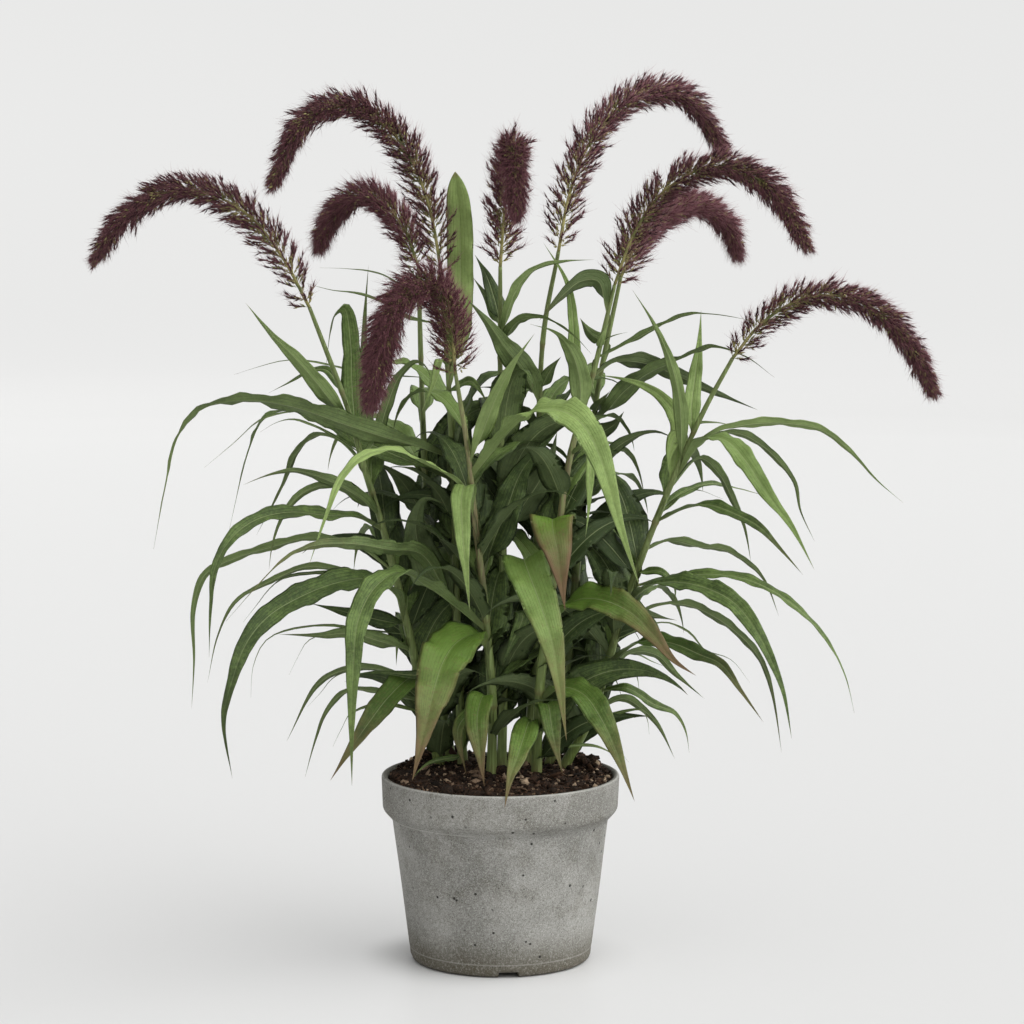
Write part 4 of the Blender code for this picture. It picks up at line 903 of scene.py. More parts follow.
def blade_surface(blade, sizes, detail):
    """A leaf as a closed surface of two parameters, v from its collar to its point and u from edge
    to edge, -1 to 1. A point is the midrib's point at v, plus u half-breadths sideways and |u|
    half-breadths upwards, turned by the fold angle, plus a low bulge of sin(pi |u|) and margin waves
    of two sines of v, plus or minus half the thickness, which thins to the edges and has the
    midrib's ridge below. Below v = 0 the sheath bends down into the stem on a cubic curve."""
    rings, columns = detail
    (line, length, outward), leaf = blade
    tangents, sides = blade_sides(line, outward, leaf.turns)
    v = np.linspace(0, TIP_SHARE, rings)
    centres = at_fractions(line, v)
    along = unit(at_fractions(tangents, v))
    side = at_fractions(sides, v)

    heel = on_stem(leaf.stem, line[0, 2] - SHEATH_LENGTH)
    below = on_stem(leaf.stem, line[0, 2] - SHEATH_LENGTH - 1)
    t = np.array(SHEATH_SHARES)[:, None]
    pull = SHEATH_LENGTH * 0.45
    anchors = [heel, heel + unit(heel - below) * pull, line[0] - tangents[0] * pull, line[0]]
    weights = [(1 - t) ** 3, 3 * (1 - t) ** 2 * t, 3 * (1 - t) * t**2, t**3]
    sheath = sum(weight * anchor for weight, anchor in zip(weights, anchors))
    centres = np.concatenate([sheath, centres])
    along = tangents_of(centres)
    side = np.concatenate([np.repeat(side[:1], len(t), axis=0), side])
    side = unit(side - along * (side * along).sum(axis=1, keepdims=True))
    over = np.cross(side, along)

    collar = 0.62 + 0.38 * smooth(v, 0, COLLAR_END)
    half = breadth(v, leaf) / 2 * collar
    if not leaf.blunt:
        half = half * (1 - POINT_THINNING * smooth(v, 0.5, 1))
    start = min(stem_radius(0.5) * 1.1, half[0] * 1.3)
    half = np.concatenate([start + (half[0] - start) * t[:, 0], half])[:, None]
    v = np.concatenate([np.zeros(len(t)), v])[:, None]
    fold = np.radians(FOLD_DEGREES + COLLAR_DEGREES * (1 - smooth(v, 0, COLLAR_END)))

    u = np.linspace(-1, 1, columns)
    u = np.sign(u) * np.abs(u) ** 1.25
    waves = 0
    phase = 2 * np.pi * ((length * GOLDEN) % 1)
    turns = length / sizes.wave_length
    for edge in (-1, 1):
        mask = smooth(u * edge, 0, 1) ** 1.5
        along_edge = 2 * np.pi * turns * v + phase + edge * 1.1
        waves = waves + mask * (np.sin(along_edge) + 0.45 * np.sin(2.37 * along_edge + edge))
    waves = waves * sizes.wave_height * half * np.sin(np.pi * np.clip(v, 0, 1)) ** 0.6
    bulge = half * BLADE_BULGE * np.sin(np.pi * np.abs(u))
    away = half * u * np.cos(fold)
    lift = half * (np.sqrt(u**2 + 0.003) - 0.055) * np.sin(fold) + bulge + waves
    thick = sizes.blade_thickness / 2 * (1 - 0.85 * u**2) * np.clip(half / 3, 0.35, 1)
    rib_width = np.clip(half * 0.16, *RIB_BREADTH)
    ridge = np.exp(-((u * half / rib_width) ** 2)) * (1 - v) ** 1.2
    rib_depth = np.minimum(sizes.midrib_height, half * 0.3)

    def layer(height):
        return centres[:, None] + away[..., None] * side[:, None] + height[..., None] * over[:, None]

    upper = layer(lift + thick - 0.25 * rib_depth * ridge)
    lower = layer(lift - thick - rib_depth * ridge)[:, -2:0:-1]
    around = np.concatenate([u, u[-2:0:-1]])
    grid = np.ones((len(v), len(around)))
    values = {
        "rib": (around * half)[None],
        "edge": ((1 - np.abs(around)) * half)[None],
        "vein": (around * half.max() * grid)[None],
        "along": (v * grid)[None],
        "run": (v * length * grid)[None],
        "tone_and_painted_light": np.full((1, 1, 1), leaf.look[0]),
        "blush": np.full((1, 1, 1), leaf.look[1]),
        "under": np.where(np.arange(len(around)) >= columns, 1.0, 0.0)[None, None],
    }
    return shells(np.concatenate([upper, lower], axis=1)[None], values)


def fillets(corners):
    """A profile through (radius, height, rounding) corners, each replaced by a quadratic curve that
    starts and ends one rounding away from it, and straight runs split into short steps."""
    corners = np.array(corners, float)
    places, roundings = corners[:, :2], corners[:, 2]
    points = [places[0]]
    for before, place, after, rounding in zip(places, places[1:], places[2:], roundings[1:]):
        enter = place + unit(before - place) * rounding
        leave = place + unit(after - place) * rounding
        t = np.linspace(0, 1, 5)[:, None]
        points += list((1 - t) ** 2 * enter + 2 * t * (1 - t) * place + t**2 * leave)
    points.append(places[-1])
    profile = [points[0]]
    for point in points[1:]:
        steps = max(1, int(np.linalg.norm(point - profile[-1]) / PROFILE_STEP))
        profile += [profile[-1] + (point - profile[-1]) * (i + 1) / steps for i in range(steps)]
    return np.array(profile)


def pot_surface():
    """The pot as a profile turned round Z. The radius has a faint mould line near the foot and is
    uneven by a sum of slow sines, and the foot is lifted inside each notch's window of angle."""
    profile = fillets([
        (30, 0, 0), (66, 0, 0.5), (69, 0, 0.5), (84.5, 0, 1), (88.5, 1.4, 1.5),
        (FOOT_RADIUS, FOOT_CHAMFER, 2), (BODY_TOP_RADIUS, BODY_TOP, 3), (117, BAND_FOOT, 3.5),
        (RIM_RADIUS, RIM_TOP, 2.8),
        (113, RIM_TOP, 2.6), (RIM_WALL_RADIUS, RIM_WALL_FOOT, 3), (WALL_RADIUS, WALL_TOP, 3),
        (FLOOR_RADIUS, FLOOR_TOP, 3), (40, FLOOR_TOP, 0),
    ])
    radius, height = profile[:, :1], profile[:, 1:]
    turn = np.linspace(0, 2 * np.pi, POT_SEGMENTS, endpoint=False)
    half_window = NOTCH_WIDTH / 2 / FOOT_RADIUS
    edges = [
        math.radians(-90 + NOTCH_TURN + 90 * quarter) + half_window * share
        for quarter in range(4)
        for share in (-1.08, -0.94, 0.94, 1.08)
    ]
    turn = np.sort(np.concatenate([turn, np.mod(edges, 2 * np.pi)]))
    outside = (np.arange(len(profile)) < np.argmax(height[:, 0]))[:, None]
    mould_line = 0.45 * np.exp(-(((height - MOULD_LINE) / 0.8) ** 2)) * outside
    uneven = 0.16 * np.sin(3 * turn + height / 31) + 0.1 * np.sin(7 * turn - height / 17)
    radius = radius - mould_line + uneven * (radius > 70)
    window = (turn - math.radians(-90 + NOTCH_TURN) + np.pi / 4) % (np.pi / 2) - np.pi / 4
    inside = 1 - smooth(np.abs(window) / half_window, 0.94, 1.08)
    inside = inside * (radius > FOOT_RADIUS - NOTCH_DEPTH - 0.5) * (height < NOTCH_HEIGHT) * outside
    height = height + (NOTCH_HEIGHT - height) * inside
    rings = np.stack([radius * np.cos(turn), radius * np.sin(turn), height + 0 * turn], axis=-1)
    return shells(rings[None], {"inside": np.where(outside, 0.0, 1.0)[None, :, :]})


def soil_level(x, y, heap):
    """The soil's height: the mound, two heaps at the back of the rim, each e to the minus square of
    the angle from its middle, and crumbs as a sum of short sines."""
    radius, turn = np.hypot(x, y), np.degrees(np.arctan2(y, x))
    near_rim = smooth(radius, 78, 104)
    heaps = sum(np.exp(-(((turn - middle) / width) ** 2)) for middle, width in HEAPS)
    crumbs = np.sin(x / 1.7 + 2 * np.sin(y / 4.1)) * np.sin(y / 1.9 + 2 * np.sin(x / 3.7))
    lumps = np.sin(x / 6.3 + 1.3) * np.sin(y / 5.7) + 0.6 * np.sin(x / 3.3 - y / 3.9)
    return soil_height(x, y) - 0.6 + heap * heaps * near_rim + 0.7 * crumbs + 0.8 * lumps


def soil_surface(sizes):
    """The soil as a turned plug: its rings run up the wall and then inwards over the top."""
    turn = np.linspace(0, 2 * np.pi, SOIL_SEGMENTS, endpoint=False)
    wall = np.array([(60, 16.6), (79.5, 16.6), (97.9, WALL_TOP), (108.8, RIM_WALL_FOOT)])
    rings = [np.stack([r * np.cos(turn), r * np.sin(turn), z + 0 * turn], axis=-1) for r, z in wall]
    for radius in np.linspace(SOIL_REACH, 2, SOIL_RINGS):
        x, y = radius * np.cos(turn), radius * np.sin(turn)
        rings.append(np.stack([x, y, soil_level(x, y, sizes.heap_height)], axis=-1))
    rings = np.array(rings)[None]
    return shells(rings, {"kind": np.full((1, 1, 1), CRUMB), "tint": np.full((1, 1, 1), 0.5)})


def grains(centres, size, longest, flatness, kind, draw):
    """Small stones and flakes: each is a ball of three rings of five, stretched along one way and
    squashed along another, with every corner moved a little."""
    count = len(centres)
    tilt, turn = np.radians((-48, 0, 48)), 2 * np.pi * np.arange(GRAIN_SIDES) / GRAIN_SIDES
    ball = np.stack([
        np.cos(tilt)[:, None] * np.cos(turn), np.cos(tilt)[:, None] * np.sin(turn),
        np.sin(tilt)[:, None] + 0 * turn,
    ], axis=-1)
    corners = ball[None] * (1 + GRAIN_UNEVENNESS * draw.standard_normal((count, 3, GRAIN_SIDES, 1)))
    scale = np.stack([size * longest, size, size * flatness], axis=1)
    corners = corners * scale[:, None, None]
    first = unit(draw.standard_normal((count, 3)) * (1, 1, 0.35))
    second = unit(np.cross(first, draw.standard_normal((count, 3)) * (0.4, 0.4, 1)))
    third = np.cross(first, second)
    ways = enumerate((first, second, third))
    turned = sum(corners[..., i : i + 1] * way[:, None, None] for i, way in ways)
    values = {"kind": kind[:, None, None], "tint": draw.random(count)[:, None, None]}
    return shells(centres[:, None, None] + turned, values)


def soil_grains(sizes):
    """Crumbs, bark and grit strewn evenly over the bed, and crumbs heaped against the rim's back."""
    draw = np.random.default_rng(7)
    count = sizes.grain_count
    radius = (SOIL_REACH - 1.5) * np.sqrt(draw.random(count))
    turn = 2 * np.pi * draw.random(count)
    heaped = draw.random(count) < HEAPED_SHARE
    middles = np.array([middle for middle, _ in HEAPS])[draw.integers(0, len(HEAPS), count)]
    turn = np.where(heaped, np.radians(middles + 19 * draw.standard_normal(count)), turn)
    radius = np.where(heaped, 96 + 16 * draw.random(count), radius)
    x, y = radius * np.cos(turn), radius * np.sin(turn)
    which = draw.random(count)
    kind = np.select([which < 0.5, which < 0.85], [CRUMB, BARK], GRIT)
    size = sizes.grain_size * np.exp(0.55 * draw.standard_normal(count)) * np.where(kind == GRIT, 0.72, 1)
    longest = np.where(kind == BARK, 2.0 + draw.random(count), 1.1 + 0.3 * draw.random(count))
    flatness = np.where(kind == BARK, 0.4, 0.8)
    z = soil_level(x, y, sizes.heap_height) + 0.35 * size + np.where(heaped, 2.2 * draw.random(count), 0)
    return grains(np.stack([x, y, z], axis=1), size, longest, flatness, kind, draw)


def strands(starts, ways, bends, lengths, radii, thickest, part, tint):
    """Many tapered strands, pointed at both ends and three-sided. A strand's centre at share t is
    its start plus its length times (way t + bend t^2). It has its radius where it is thickest."""
    share, swell = np.array([0, thickest, 1]), np.array([0, 1, 0])
    t = share[:, None]
    centres = starts[:, None] + lengths[:, None, None] * (ways[:, None] * t + bends[:, None] * t**2)
    tangents = unit(ways[:, None] + 2 * bends[:, None] * t)
    helper = np.where(np.abs(ways[:, :1]) < 0.7, [[1.0, 0, 0]], [[0, 0, 1.0]])
    across = np.cross(tangents, helper[:, None])
    across = unit(across)[:, :, None]
    over = np.cross(tangents[:, :, None], across)
    angle = 2 * np.pi * np.arange(STRAND_SIDES) / STRAND_SIDES
    way = np.cos(angle)[:, None] * across + np.sin(angle)[:, None] * over
    rings = centres[:, :, None] + (radii[:, None] * swell)[..., None, None] * way
    values = {
        "part": np.full((1, 1, 1), part),
        "strand": share[None, :, None],
        "tint": tint[:, None, None],
    }
    return shells(rings, values, pointed=True)


def along_plume(curve, at):
    """Points, tangents, and the ways across and towards the front, at shares of a plume's line."""
    centres = at_fractions(curve, at)
    tangents = unit(at_fractions(tangents_of(curve), at))
    across = unit(np.cross(tangents, unit(centres - EYE)))
    return centres, tangents, across, np.cross(tangents, across)


def plume_surface(name, sizes):
    """A plume: a thin axis, and round it slim tufts on a golden-angle spiral. The spiral is drawn
    towards both sides, so that the axis shows between them, and the tufts close up along the plume.
    A tuft is a stalk with spikelets set along it and bristles that reach past its end."""
    draw = np.random.default_rng(sum(name.encode()))
    curve, length = curve_through([placed(point) for point in STEMS[name].route[-1:] + STEMS[name].plume])
    fullness, softness, closeness = PLUME_LOOKS.get(name, (1.0, 0.0, 1.0))
    shares = np.linspace(0, 1, 25)
    centres, tangents, _, _ = along_plume(curve, shares)
    radii = sizes.axis_radius * (1 - 0.7 * shares)
    axis = shells(tube(centres, tangents, radii, AXIS_SIDES)[None], {
        "part": np.full((1, 1, 1), AXIS_PART),
        "strand": shares[None, :, None],
        "tint": np.full((1, 1, 1), 0.5),
    })

    count = int(length * sizes.tufts_per_mm * closeness)
    steps = np.linspace(0, 1, 200)
    density = np.interp(steps, DENSITY_SHARES, DENSITIES)
    reach = np.cumsum(density) / density.sum()
    order = (np.arange(count) + 0.5) / count
    at = 0.005 + 0.965 * np.interp(order, reach, steps)
    at = np.clip(at + 0.007 * draw.standard_normal(count), 0.004, 0.98)
    turn = 2 * np.pi * GOLDEN * np.arange(count)
    turn = turn - 0.35 * (1 - smooth(at, 0.25, 0.6)) * np.sin(2 * turn)
    turn = turn + 0.25 * draw.standard_normal(count)
    centres, tangents, across, front = along_plume(curve, at)
    outward = np.cos(turn)[:, None] * across + np.sin(turn)[:, None] * front

    lean = np.radians(np.interp(at, PLUME_SHARES, TUFT_LEANS) + 8 * draw.standard_normal(count))
    way = unit(np.cos(lean)[:, None] * tangents + np.sin(lean)[:, None] * outward)
    stalk = fullness * sizes.tuft_length * np.interp(at, PLUME_SHARES, TUFT_LENGTHS)
    stalk = stalk * (1 + 0.16 * draw.standard_normal(count))
    bend = 0.16 * tangents
    surface = centres + outward * radii[0] * 0.5
    tint = draw.random(count)
    radius = np.full(count, STALK_RADIUS)
    stalks = strands(surface, way, bend, stalk, radius, STALK_SWELL, STALK_PART, tint)

    def fan(number, spread, low, high):
        """Starts and ways of a number of strands from each tuft, set evenly along its stalk."""
        rows = np.repeat(np.arange(count), number)
        step = (np.tile(np.arange(number), count) + draw.random(len(rows))) / number
        share = (low + (high - low) * step)[:, None]
        start = surface[rows] + stalk[rows, None] * (way[rows] * share + bend[rows] * share**2)
        along = unit(way[rows] + 2 * bend[rows] * share)
        return rows, start, unit(along + spread * draw.standard_normal((len(rows), 3)))

    end = np.interp(at, (0, 0.8, 1), (1, 1, 0.7))
    rows, start, ways = fan(sizes.husks, 0.35, 0.0, 0.6)
    size = 0.9 * sizes.spikelet_length * (1 + 0.2 * draw.standard_normal(len(rows)))
    curl = 0.1 * tangents[rows]
    husks = strands(start, ways, curl, size, 0.15 * size, SPIKELET_SWELL, STALK_PART, tint[rows])
    rows, start, ways = fan(sizes.spikelets, 0.18, 0.25, 0.97)
    size = sizes.spikelet_length * end[rows] * (1 + 0.16 * draw.standard_normal(len(rows)))
    spikelets = strands(
        start, ways, 0.1 * tangents[rows], size, 0.11 * size, SPIKELET_SWELL, SPIKELET_PART,
        0.6 * tint[rows] + 0.4 * draw.random(len(rows)),
    )
    rows, start, ways = fan(sizes.bristles, 0.4, 0.15, 1.0)
    size = sizes.bristle_length * end[rows] * (1 + 0.22 * draw.standard_normal(len(rows)))
    radius = np.full(len(rows), sizes.bristle_radius)
    bristles = strands(
        start, ways, 0.2 * tangents[rows], size * (1 + 0.15 * softness), radius, BRISTLE_SWELL,
        BRISTLE_PART, 0.5 * tint[rows] + 0.5 * draw.random(len(rows)),
    )
    shape = joined([axis, stalks, husks, spikelets, bristles])
    shape.values["soft"] = np.full(len(shape.points), softness)
    return shape


class Value:
    """The number that a socket gives. Python's arithmetic on it adds Math nodes."""

    def __init__(self, finish, socket):
        self.finish = finish
        self.socket = socket

    def __add__(self, other):
        return self.finish.maths("ADD", self, other)

    __radd__ = __add__

    def __sub__(self, other):
        return self.finish.maths("SUBTRACT", self, other)

    def __rsub__(self, other):
        return self.finish.maths("SUBTRACT", other, self)

    def __mul__(self, other):
        return self.finish.maths("MULTIPLY", self, other)

    __rmul__ = __mul__

    def __abs__(self):
        return self.finish.maths("ABSOLUTE", self)


class Finish:
    """A Principled material whose varying inputs are worked out from Values."""

    def __init__(self, name, roughness, gloss):
        self.material = bpy.data.materials.new(name)
        self.material.use_nodes = True
        self.tree = self.material.node_tree
        self.shader = self.tree.nodes["Principled BSDF"]
        self.shader.inputs["Roughness"].default_value = roughness
        self.shader.inputs["Specular IOR Level"].default_value = gloss

    def node(self, kind, settings=None, inputs=None, output=0):
        """Adds a node: its settings first, then its sockets' values or links. Gives an output."""
        node = self.tree.nodes.new(kind)
        for key, value in (settings or {}).items():
            setattr(node, key, value)
        for key, value in (inputs or {}).items():
            if isinstance(value, Value):
                self.tree.links.new(value.socket, node.inputs[key])
            else:
                node.inputs[key].default_value = value
        return Value(self, node.outputs[output])

    def maths(self, operation, *numbers):
        return self.node("ShaderNodeMath", {"operation": operation}, dict(enumerate(numbers)))

    def attribute(self, name):
        return self.node("ShaderNodeAttribute", {"attribute_name": name}, output="Fac")

    def place(self):
        return self.node("ShaderNodeTexCoord", output="Object")

    def axis(self, vector, name):
        return self.node("ShaderNodeSeparateXYZ", inputs={"Vector": vector}, output=name)

    def noise(self, vector, scale, detail=3.0, rough=0.5):
        inputs = {"Vector": vector, "Scale": scale, "Detail": detail, "Roughness": rough}
        return self.node("ShaderNodeTexNoise", inputs=inputs, output="Fac")

    def cells(self, vector, scale):
        """The distance to the nearest of many scattered points."""
        return self.node("ShaderNodeTexVoronoi", inputs={"Vector": vector, "Scale": scale}, output="Distance")

    def mask(self, value, low, high):
        """0 at low and 1 at high, with an S-curve between. Low may be the larger of the two."""
        settings = {"interpolation_type": "SMOOTHSTEP"}
        inputs = {"Value": value, "From Min": low, "From Max": high}
        return self.node("ShaderNodeMapRange", settings, inputs)

    def mix(self, mask, one, other):
        """The colour one where the mask is 0 and the other where it is 1."""
        colours = [value if isinstance(value, Value) else (*value, 1) for value in (one, other)]
        inputs = {0: mask, 6: colours[0], 7: colours[1]}
        return self.node("ShaderNodeMix", {"data_type": "RGBA"}, inputs, 2)

    def layers(self, colour, *pairs):
        """A colour with others over it in turn, each given after its mask."""
        for mask, other in pairs:
            colour = self.mix(mask, colour, other)
        return colour

    def wear(self, colour, roughness=None, height=None, strength=0.5, depth=0.0004, glow=None):
        """Links the varying colour, roughness and glow, and the height as a bump, to the shader."""
        links = self.tree.links
        links.new(colour.socket, self.shader.inputs["Base Color"])
        if glow is not None:
            links.new(glow.socket, self.shader.inputs["Emission Color"])
            self.shader.inputs["Emission Strength"].default_value = 1.0
        if roughness is not None:
            links.new(roughness.socket, self.shader.inputs["Roughness"])
        if height is not None:
            inputs = {"Height": height, "Strength": strength, "Distance": depth}
            links.new(self.node("ShaderNodeBump", inputs=inputs).socket, self.shader.inputs["Normal"])
        return self.material


def finished(make):
    """Makes each material once, by its name."""
    def get(*arguments):
        name = make.__name__
        return bpy.data.materials.get(name) or make(name, *arguments)
    return get


@finished
def pot_concrete(name, colours):
    """Cast concrete: slow clouds, a brown stained foot, sand in two sizes, pits, a pale mould line and a
    pale line under the band on the left, a painted highlight along the lip, and painted shade over the
    rim band and inside the rim.
    """
    finish = Finish(name, 0.8, 0.32)
    mask, noise, place = finish.mask, finish.noise, finish.place()
    clouds = noise(place, 11, 5, 0.62)
    patches = noise(place, 38, 4, 0.6)
    sand = noise(place, 1200, 1, 0.5)
    coarse = noise(place, 430, 2, 0.6)
    height, across = finish.axis(place, "Z"), finish.axis(place, "X")
    inside = finish.attribute("inside")
    stained = mask(height + 0.022 * (patches - 0.5), 0.048, 0.004)
    # Painted shade over the rim band and everything above it, patchy
    band_painted_shade = mask(height, 0.146, 0.150) * (0.1 + 0.5 * patches)
    pits = mask(finish.cells(place, 70) + 0.03 * (coarse - 0.5), 0.125, 0.085)
    pits = pits * mask(noise(place, 43, 2), 0.4, 0.46)
    fine_pits = mask(finish.cells(place, 210), 0.2, 0.13) * mask(patches, 0.5, 0.62)
    # A painted highlight along the top of the lip, on the outside
    lip_highlight = mask(height, 0.1842, 0.1856) * (1 - inside)
    mould = mask(height, 0.0118, 0.0126) * mask(height, 0.0142, 0.0132)
    # A pale line just under the rim band, on the left side only
    pale_line_under_band = mask(height, 0.1438, 0.1444) * mask(height, 0.1454, 0.1448)
    pale_line_under_band = pale_line_under_band * mask(across, -0.015, -0.035) * (1 - inside)
    colour = finish.layers(
        colours.pot,
        (mask(clouds, 0.36, 0.66), colours.pot_light),
        (mask(patches, 0.48, 0.7) * 0.3, colours.pot_stain),
        # The foot's real brown stain, and painted shade over the rim band
        (stained * 0.85 + band_painted_shade * 0.5, colours.pot_stain),
        (mask(coarse, 0.52, 0.66) * 0.25, colours.pot_stain),
        (mask(coarse, 0.48, 0.34) * 0.25, colours.pot_pale),
        (mask(sand, 0.54, 0.66) * 0.5, colours.pot_stain),
        (mask(sand, 0.46, 0.34) * (0.5 - 0.35 * stained), colours.pot_pale),
        # Pale mould line, pale line under the band, and the painted highlight along the lip
        (lip_highlight * 0.4 + mould * 0.25 + pale_line_under_band * 0.5, colours.pot_pale),
        (pits * 0.95, colours.pot_pit),
        (fine_pits * 0.55, colours.pot_pit),
        # Painted shade on the inner wall and inside the rim
        (inside * 0.35, colours.pot_stain),
    )
    relief = 0.4 * sand + 0.5 * coarse + 0.7 * patches - 2.4 * pits - 0.9 * fine_pits
    return finish.wear(colour, 0.72 + 0.2 * coarse, relief, 0.55, 0.0007)


@finished
def soil_crumbs(name, colours):
    """Dark potting mix, bark and pale grit, told apart by the kind attribute."""
    finish = Finish(name, 0.95, 0.2)
    mask, place = finish.mask, finish.place()
    grain = finish.noise(place, 520, 4, 0.75)
    crumbs = finish.cells(place, 430)
    tint, kind = map(finish.attribute, ("tint", "kind"))
    soil, bark, grit = colours.soil, colours.bark, colours.grit
    dark = finish.layers(soil, (mask(grain, 0.42, 0.68) * 0.8, bark), (mask(tint, 0.35, 0.8) * 0.6, soil))
    flakes = finish.layers(soil, (tint, bark), (mask(tint, 0.7, 1.0) * 0.5, grit))
    pale = finish.mix(mask(tint, 0.3, 1.0) * 0.85, grit, bark)
    colour = finish.layers(
        dark,
        (mask(kind, 0.2, 0.4), flakes),
        (mask(kind, 0.6, 0.9), pale),
        (mask(grain, 0.55, 0.7) * 0.3, soil),
    )
    return finish.wear(colour, 0.84 + 0.14 * grain, grain - 0.6 * crumbs, 1.0, 0.0014)


@finished
def stem_skin(name, colours):
    """Green stems, lighter at the foot, with fine streaks, faint joints and sheaths, and a tan
    stretch on some."""
    finish = Finish(name, 0.5, 0.4)
    mask, place = finish.mask, finish.place()
    along, joint, sheath, tan = map(finish.attribute, ("along", "joint", "sheath", "tan"))
    stretched = finish.node("ShaderNodeMapping", inputs={"Vector": place, "Scale": (1, 1, 0.03)})
    streaks = finish.noise(stretched, 520, 2, 0.6)
    clouds = finish.noise(place, 35, 3)
    colour = finish.layers(
        colours.stem_foot,
        (mask(along, 0.0, 0.45), colours.stem),
        (mask(along, 0.035, 0.0) * 0.5, colours.joint),
        (sheath * 0.5 * clouds, colours.leaf),
        (tan * (0.55 + 0.6 * clouds), colours.stem_tan),
        (mask(streaks, 0.48, 0.66) * 0.5, colours.leaf_light),
        (mask(streaks, 0.5, 0.34) * 0.55, colours.leaf),
        (joint * 0.6, colours.joint),
    )
    return finish.wear(colour, 0.42 + 0.2 * clouds, streaks, 0.4, 0.0004)


@finished
def leaf_skin(name, colours):
    """A grass leaf: its tone, partly its own green and partly painted light and shade, slow clouds and
    fine streaks along the veins, a faint midrib, a thin pale margin that is a painted highlight on
    the lighter leaves, a duller underside, and a reddish blush that comes in from the point and
    margins."""
    finish = Finish(name, 0.52, 0.24)
    mask, noise, place = finish.mask, finish.noise, finish.place()
    names = ("rib", "vein", "run", "along", "tone_and_painted_light", "edge", "blush", "under")
    rib, vein, run, along, tone_and_painted_light, edge, blush, under = map(finish.attribute, names)
    clouds = noise(place, 26, 4, 0.62)
    fine = noise(place, 260, 3, 0.7)
    blotch = noise(place, 75, 4, 0.65) - 0.5
    drawn_out = finish.node("ShaderNodeCombineXYZ", inputs={"X": vein, "Y": run * 0.035, "Z": tone_and_painted_light * 9})
    streaks = noise(drawn_out, 1.7, 3, 0.7)
    groove = mask(finish.maths("SINE", vein * 1.75 + 0.8 * clouds), 0.45, 1.0)
    lines = finish.maths("SINE", vein * 4.4 + 2 * streaks)
    # The tone carries painted light and shade as well as the leaf's own green
    shade = tone_and_painted_light + 0.55 * (clouds - 0.5) + 0.45 * (streaks - 0.5) + 0.6 * (fine - 0.5)
    shade = shade - 0.12 * groove + 0.05 * lines
    reach = along + 0.6 * blotch + 0.5 * blush + 0.35 * mask(edge, 7, 0.5) * blush
    red = mask(reach + 0.6 * (fine - 0.5), 1.05, 1.65) * mask(blush, 0.0, 0.12)
    specks = mask(noise(place, 380, 2), 0.58, 0.7) * (0.12 + 0.8 * blush)
    colour = finish.layers(
        # Dark, middle and light greens by the tone: partly the leaf's own green, partly painted shade and
        # light
        colours.leaf_dark,
        (mask(shade, 0.0, 0.5), colours.leaf),
        (mask(shade, 0.4, 1.1), colours.leaf_light),
        (mask(along, 0.75, 0.2) * blush * 0.8, colours.leaf_fresh),
        (under * 0.4, colours.leaf_under),
        (mask(abs(rib), 0.65, 0.2) * mask(along, 0.9, 0.45) * 0.55, colours.midrib),
        # A thin pale margin on the lighter leaves: a painted highlight
        (mask(edge, 0.6, 0.15) * mask(tone_and_painted_light, 0.1, 0.6) * 0.4, colours.midrib),
        (mask(along, 0.08, 0.0) * 0.5, colours.stem),
        (mask(reach, 0.72, 1.2) * mask(blush, 0.0, 0.3) * 0.55, colours.leaf_olive),
        (red * 0.9, colours.blush),
        (specks * 0.55, colours.blush),
        (mask(along + 0.04 * blotch, 0.965, 0.995) * 0.6, colours.dry_tip),
    )
    relief = 0.9 * streaks - 0.8 * groove + 1.2 * noise(place, 130, 2) + 0.4 * fine
    return finish.wear(colour, 0.44 + 0.2 * clouds + 0.1 * under, relief, 0.6, 0.0006)


@finished
def plume_hair(name, colours):
    """The plume's parts from its axis (0) to its bristles (1), each lighter towards its end, and
    redder where the plume is soft."""
    finish = Finish(name, 0.62, 0.25)
    mask = finish.mask
    part, strand, tint, soft = map(finish.attribute, ("part", "strand", "tint", "soft"))
    green, dark, light, pale = colours.plume_axis, colours.spikelet, colours.spikelet_light, colours.bristle
    axis = finish.mix(mask(finish.noise(finish.place(), 60, 3), 0.4, 0.7), green, colours.stem)
    stalk = finish.mix(mask(strand, 0.45, 1.0) * 0.8, axis, light)
    spikelet = finish.layers(
        dark,
        (soft * 0.45, light),
        (mask(tint, 0.35, 1.0) * 0.8, light),
        (mask(tint, 0.86, 0.92) * 0.6, green),
        (mask(strand, 0.45, 1.0) * 0.3, pale),
    )
    bristle = finish.layers(light, (mask(strand, 0.0, 0.9), pale), (mask(tint, 0.6, 1.0) * 0.45, dark))
    colour = finish.layers(
        axis,
        (mask(part, 0.05, 0.14), stalk),
        (mask(part, 0.2, 0.45), spikelet),
        (mask(part, 0.6, 0.95), bristle),
    )
    return finish.wear(colour, 0.55 + 0.25 * tint)


@finished
def studio_grey(name, colours):
    """The plain pale floor and the wall that it curves up into. Away from the pot the floor glows over
    a darker floor colour, painted light that lifts the shadows on it; near the pot it has a lighter
    colour and no glow, so a dark contact shadow is left under the pot."""
    finish = Finish(name, 0.42, 0.25)
    place = finish.place()
    wall = finish.mask(finish.axis(place, "Z"), 0.0, 0.16)
    away = finish.node("ShaderNodeVectorMath", {"operation": "LENGTH"}, {0: place}, "Value")
    open_floor = finish.mask(away, 0.085, 0.15)
    # Painted light: the floor glows away from the pot to lift the shadows on it, and not near the pot
    near = finish.mix(open_floor, BLACK, colours.floor_glow)
    floor = finish.mix(open_floor, colours.floor_near, colours.floor)
    return finish.wear(finish.mix(wall, floor, BLACK), glow=finish.mix(wall, near, colours.wall))


def size_property(name, description, default, low=0):
    return FloatProperty(name=name, description=description, default=default, min=low)


def count_property(name, description, default, low=0):
    return IntProperty(name=name, description=description, default=default, min=low)


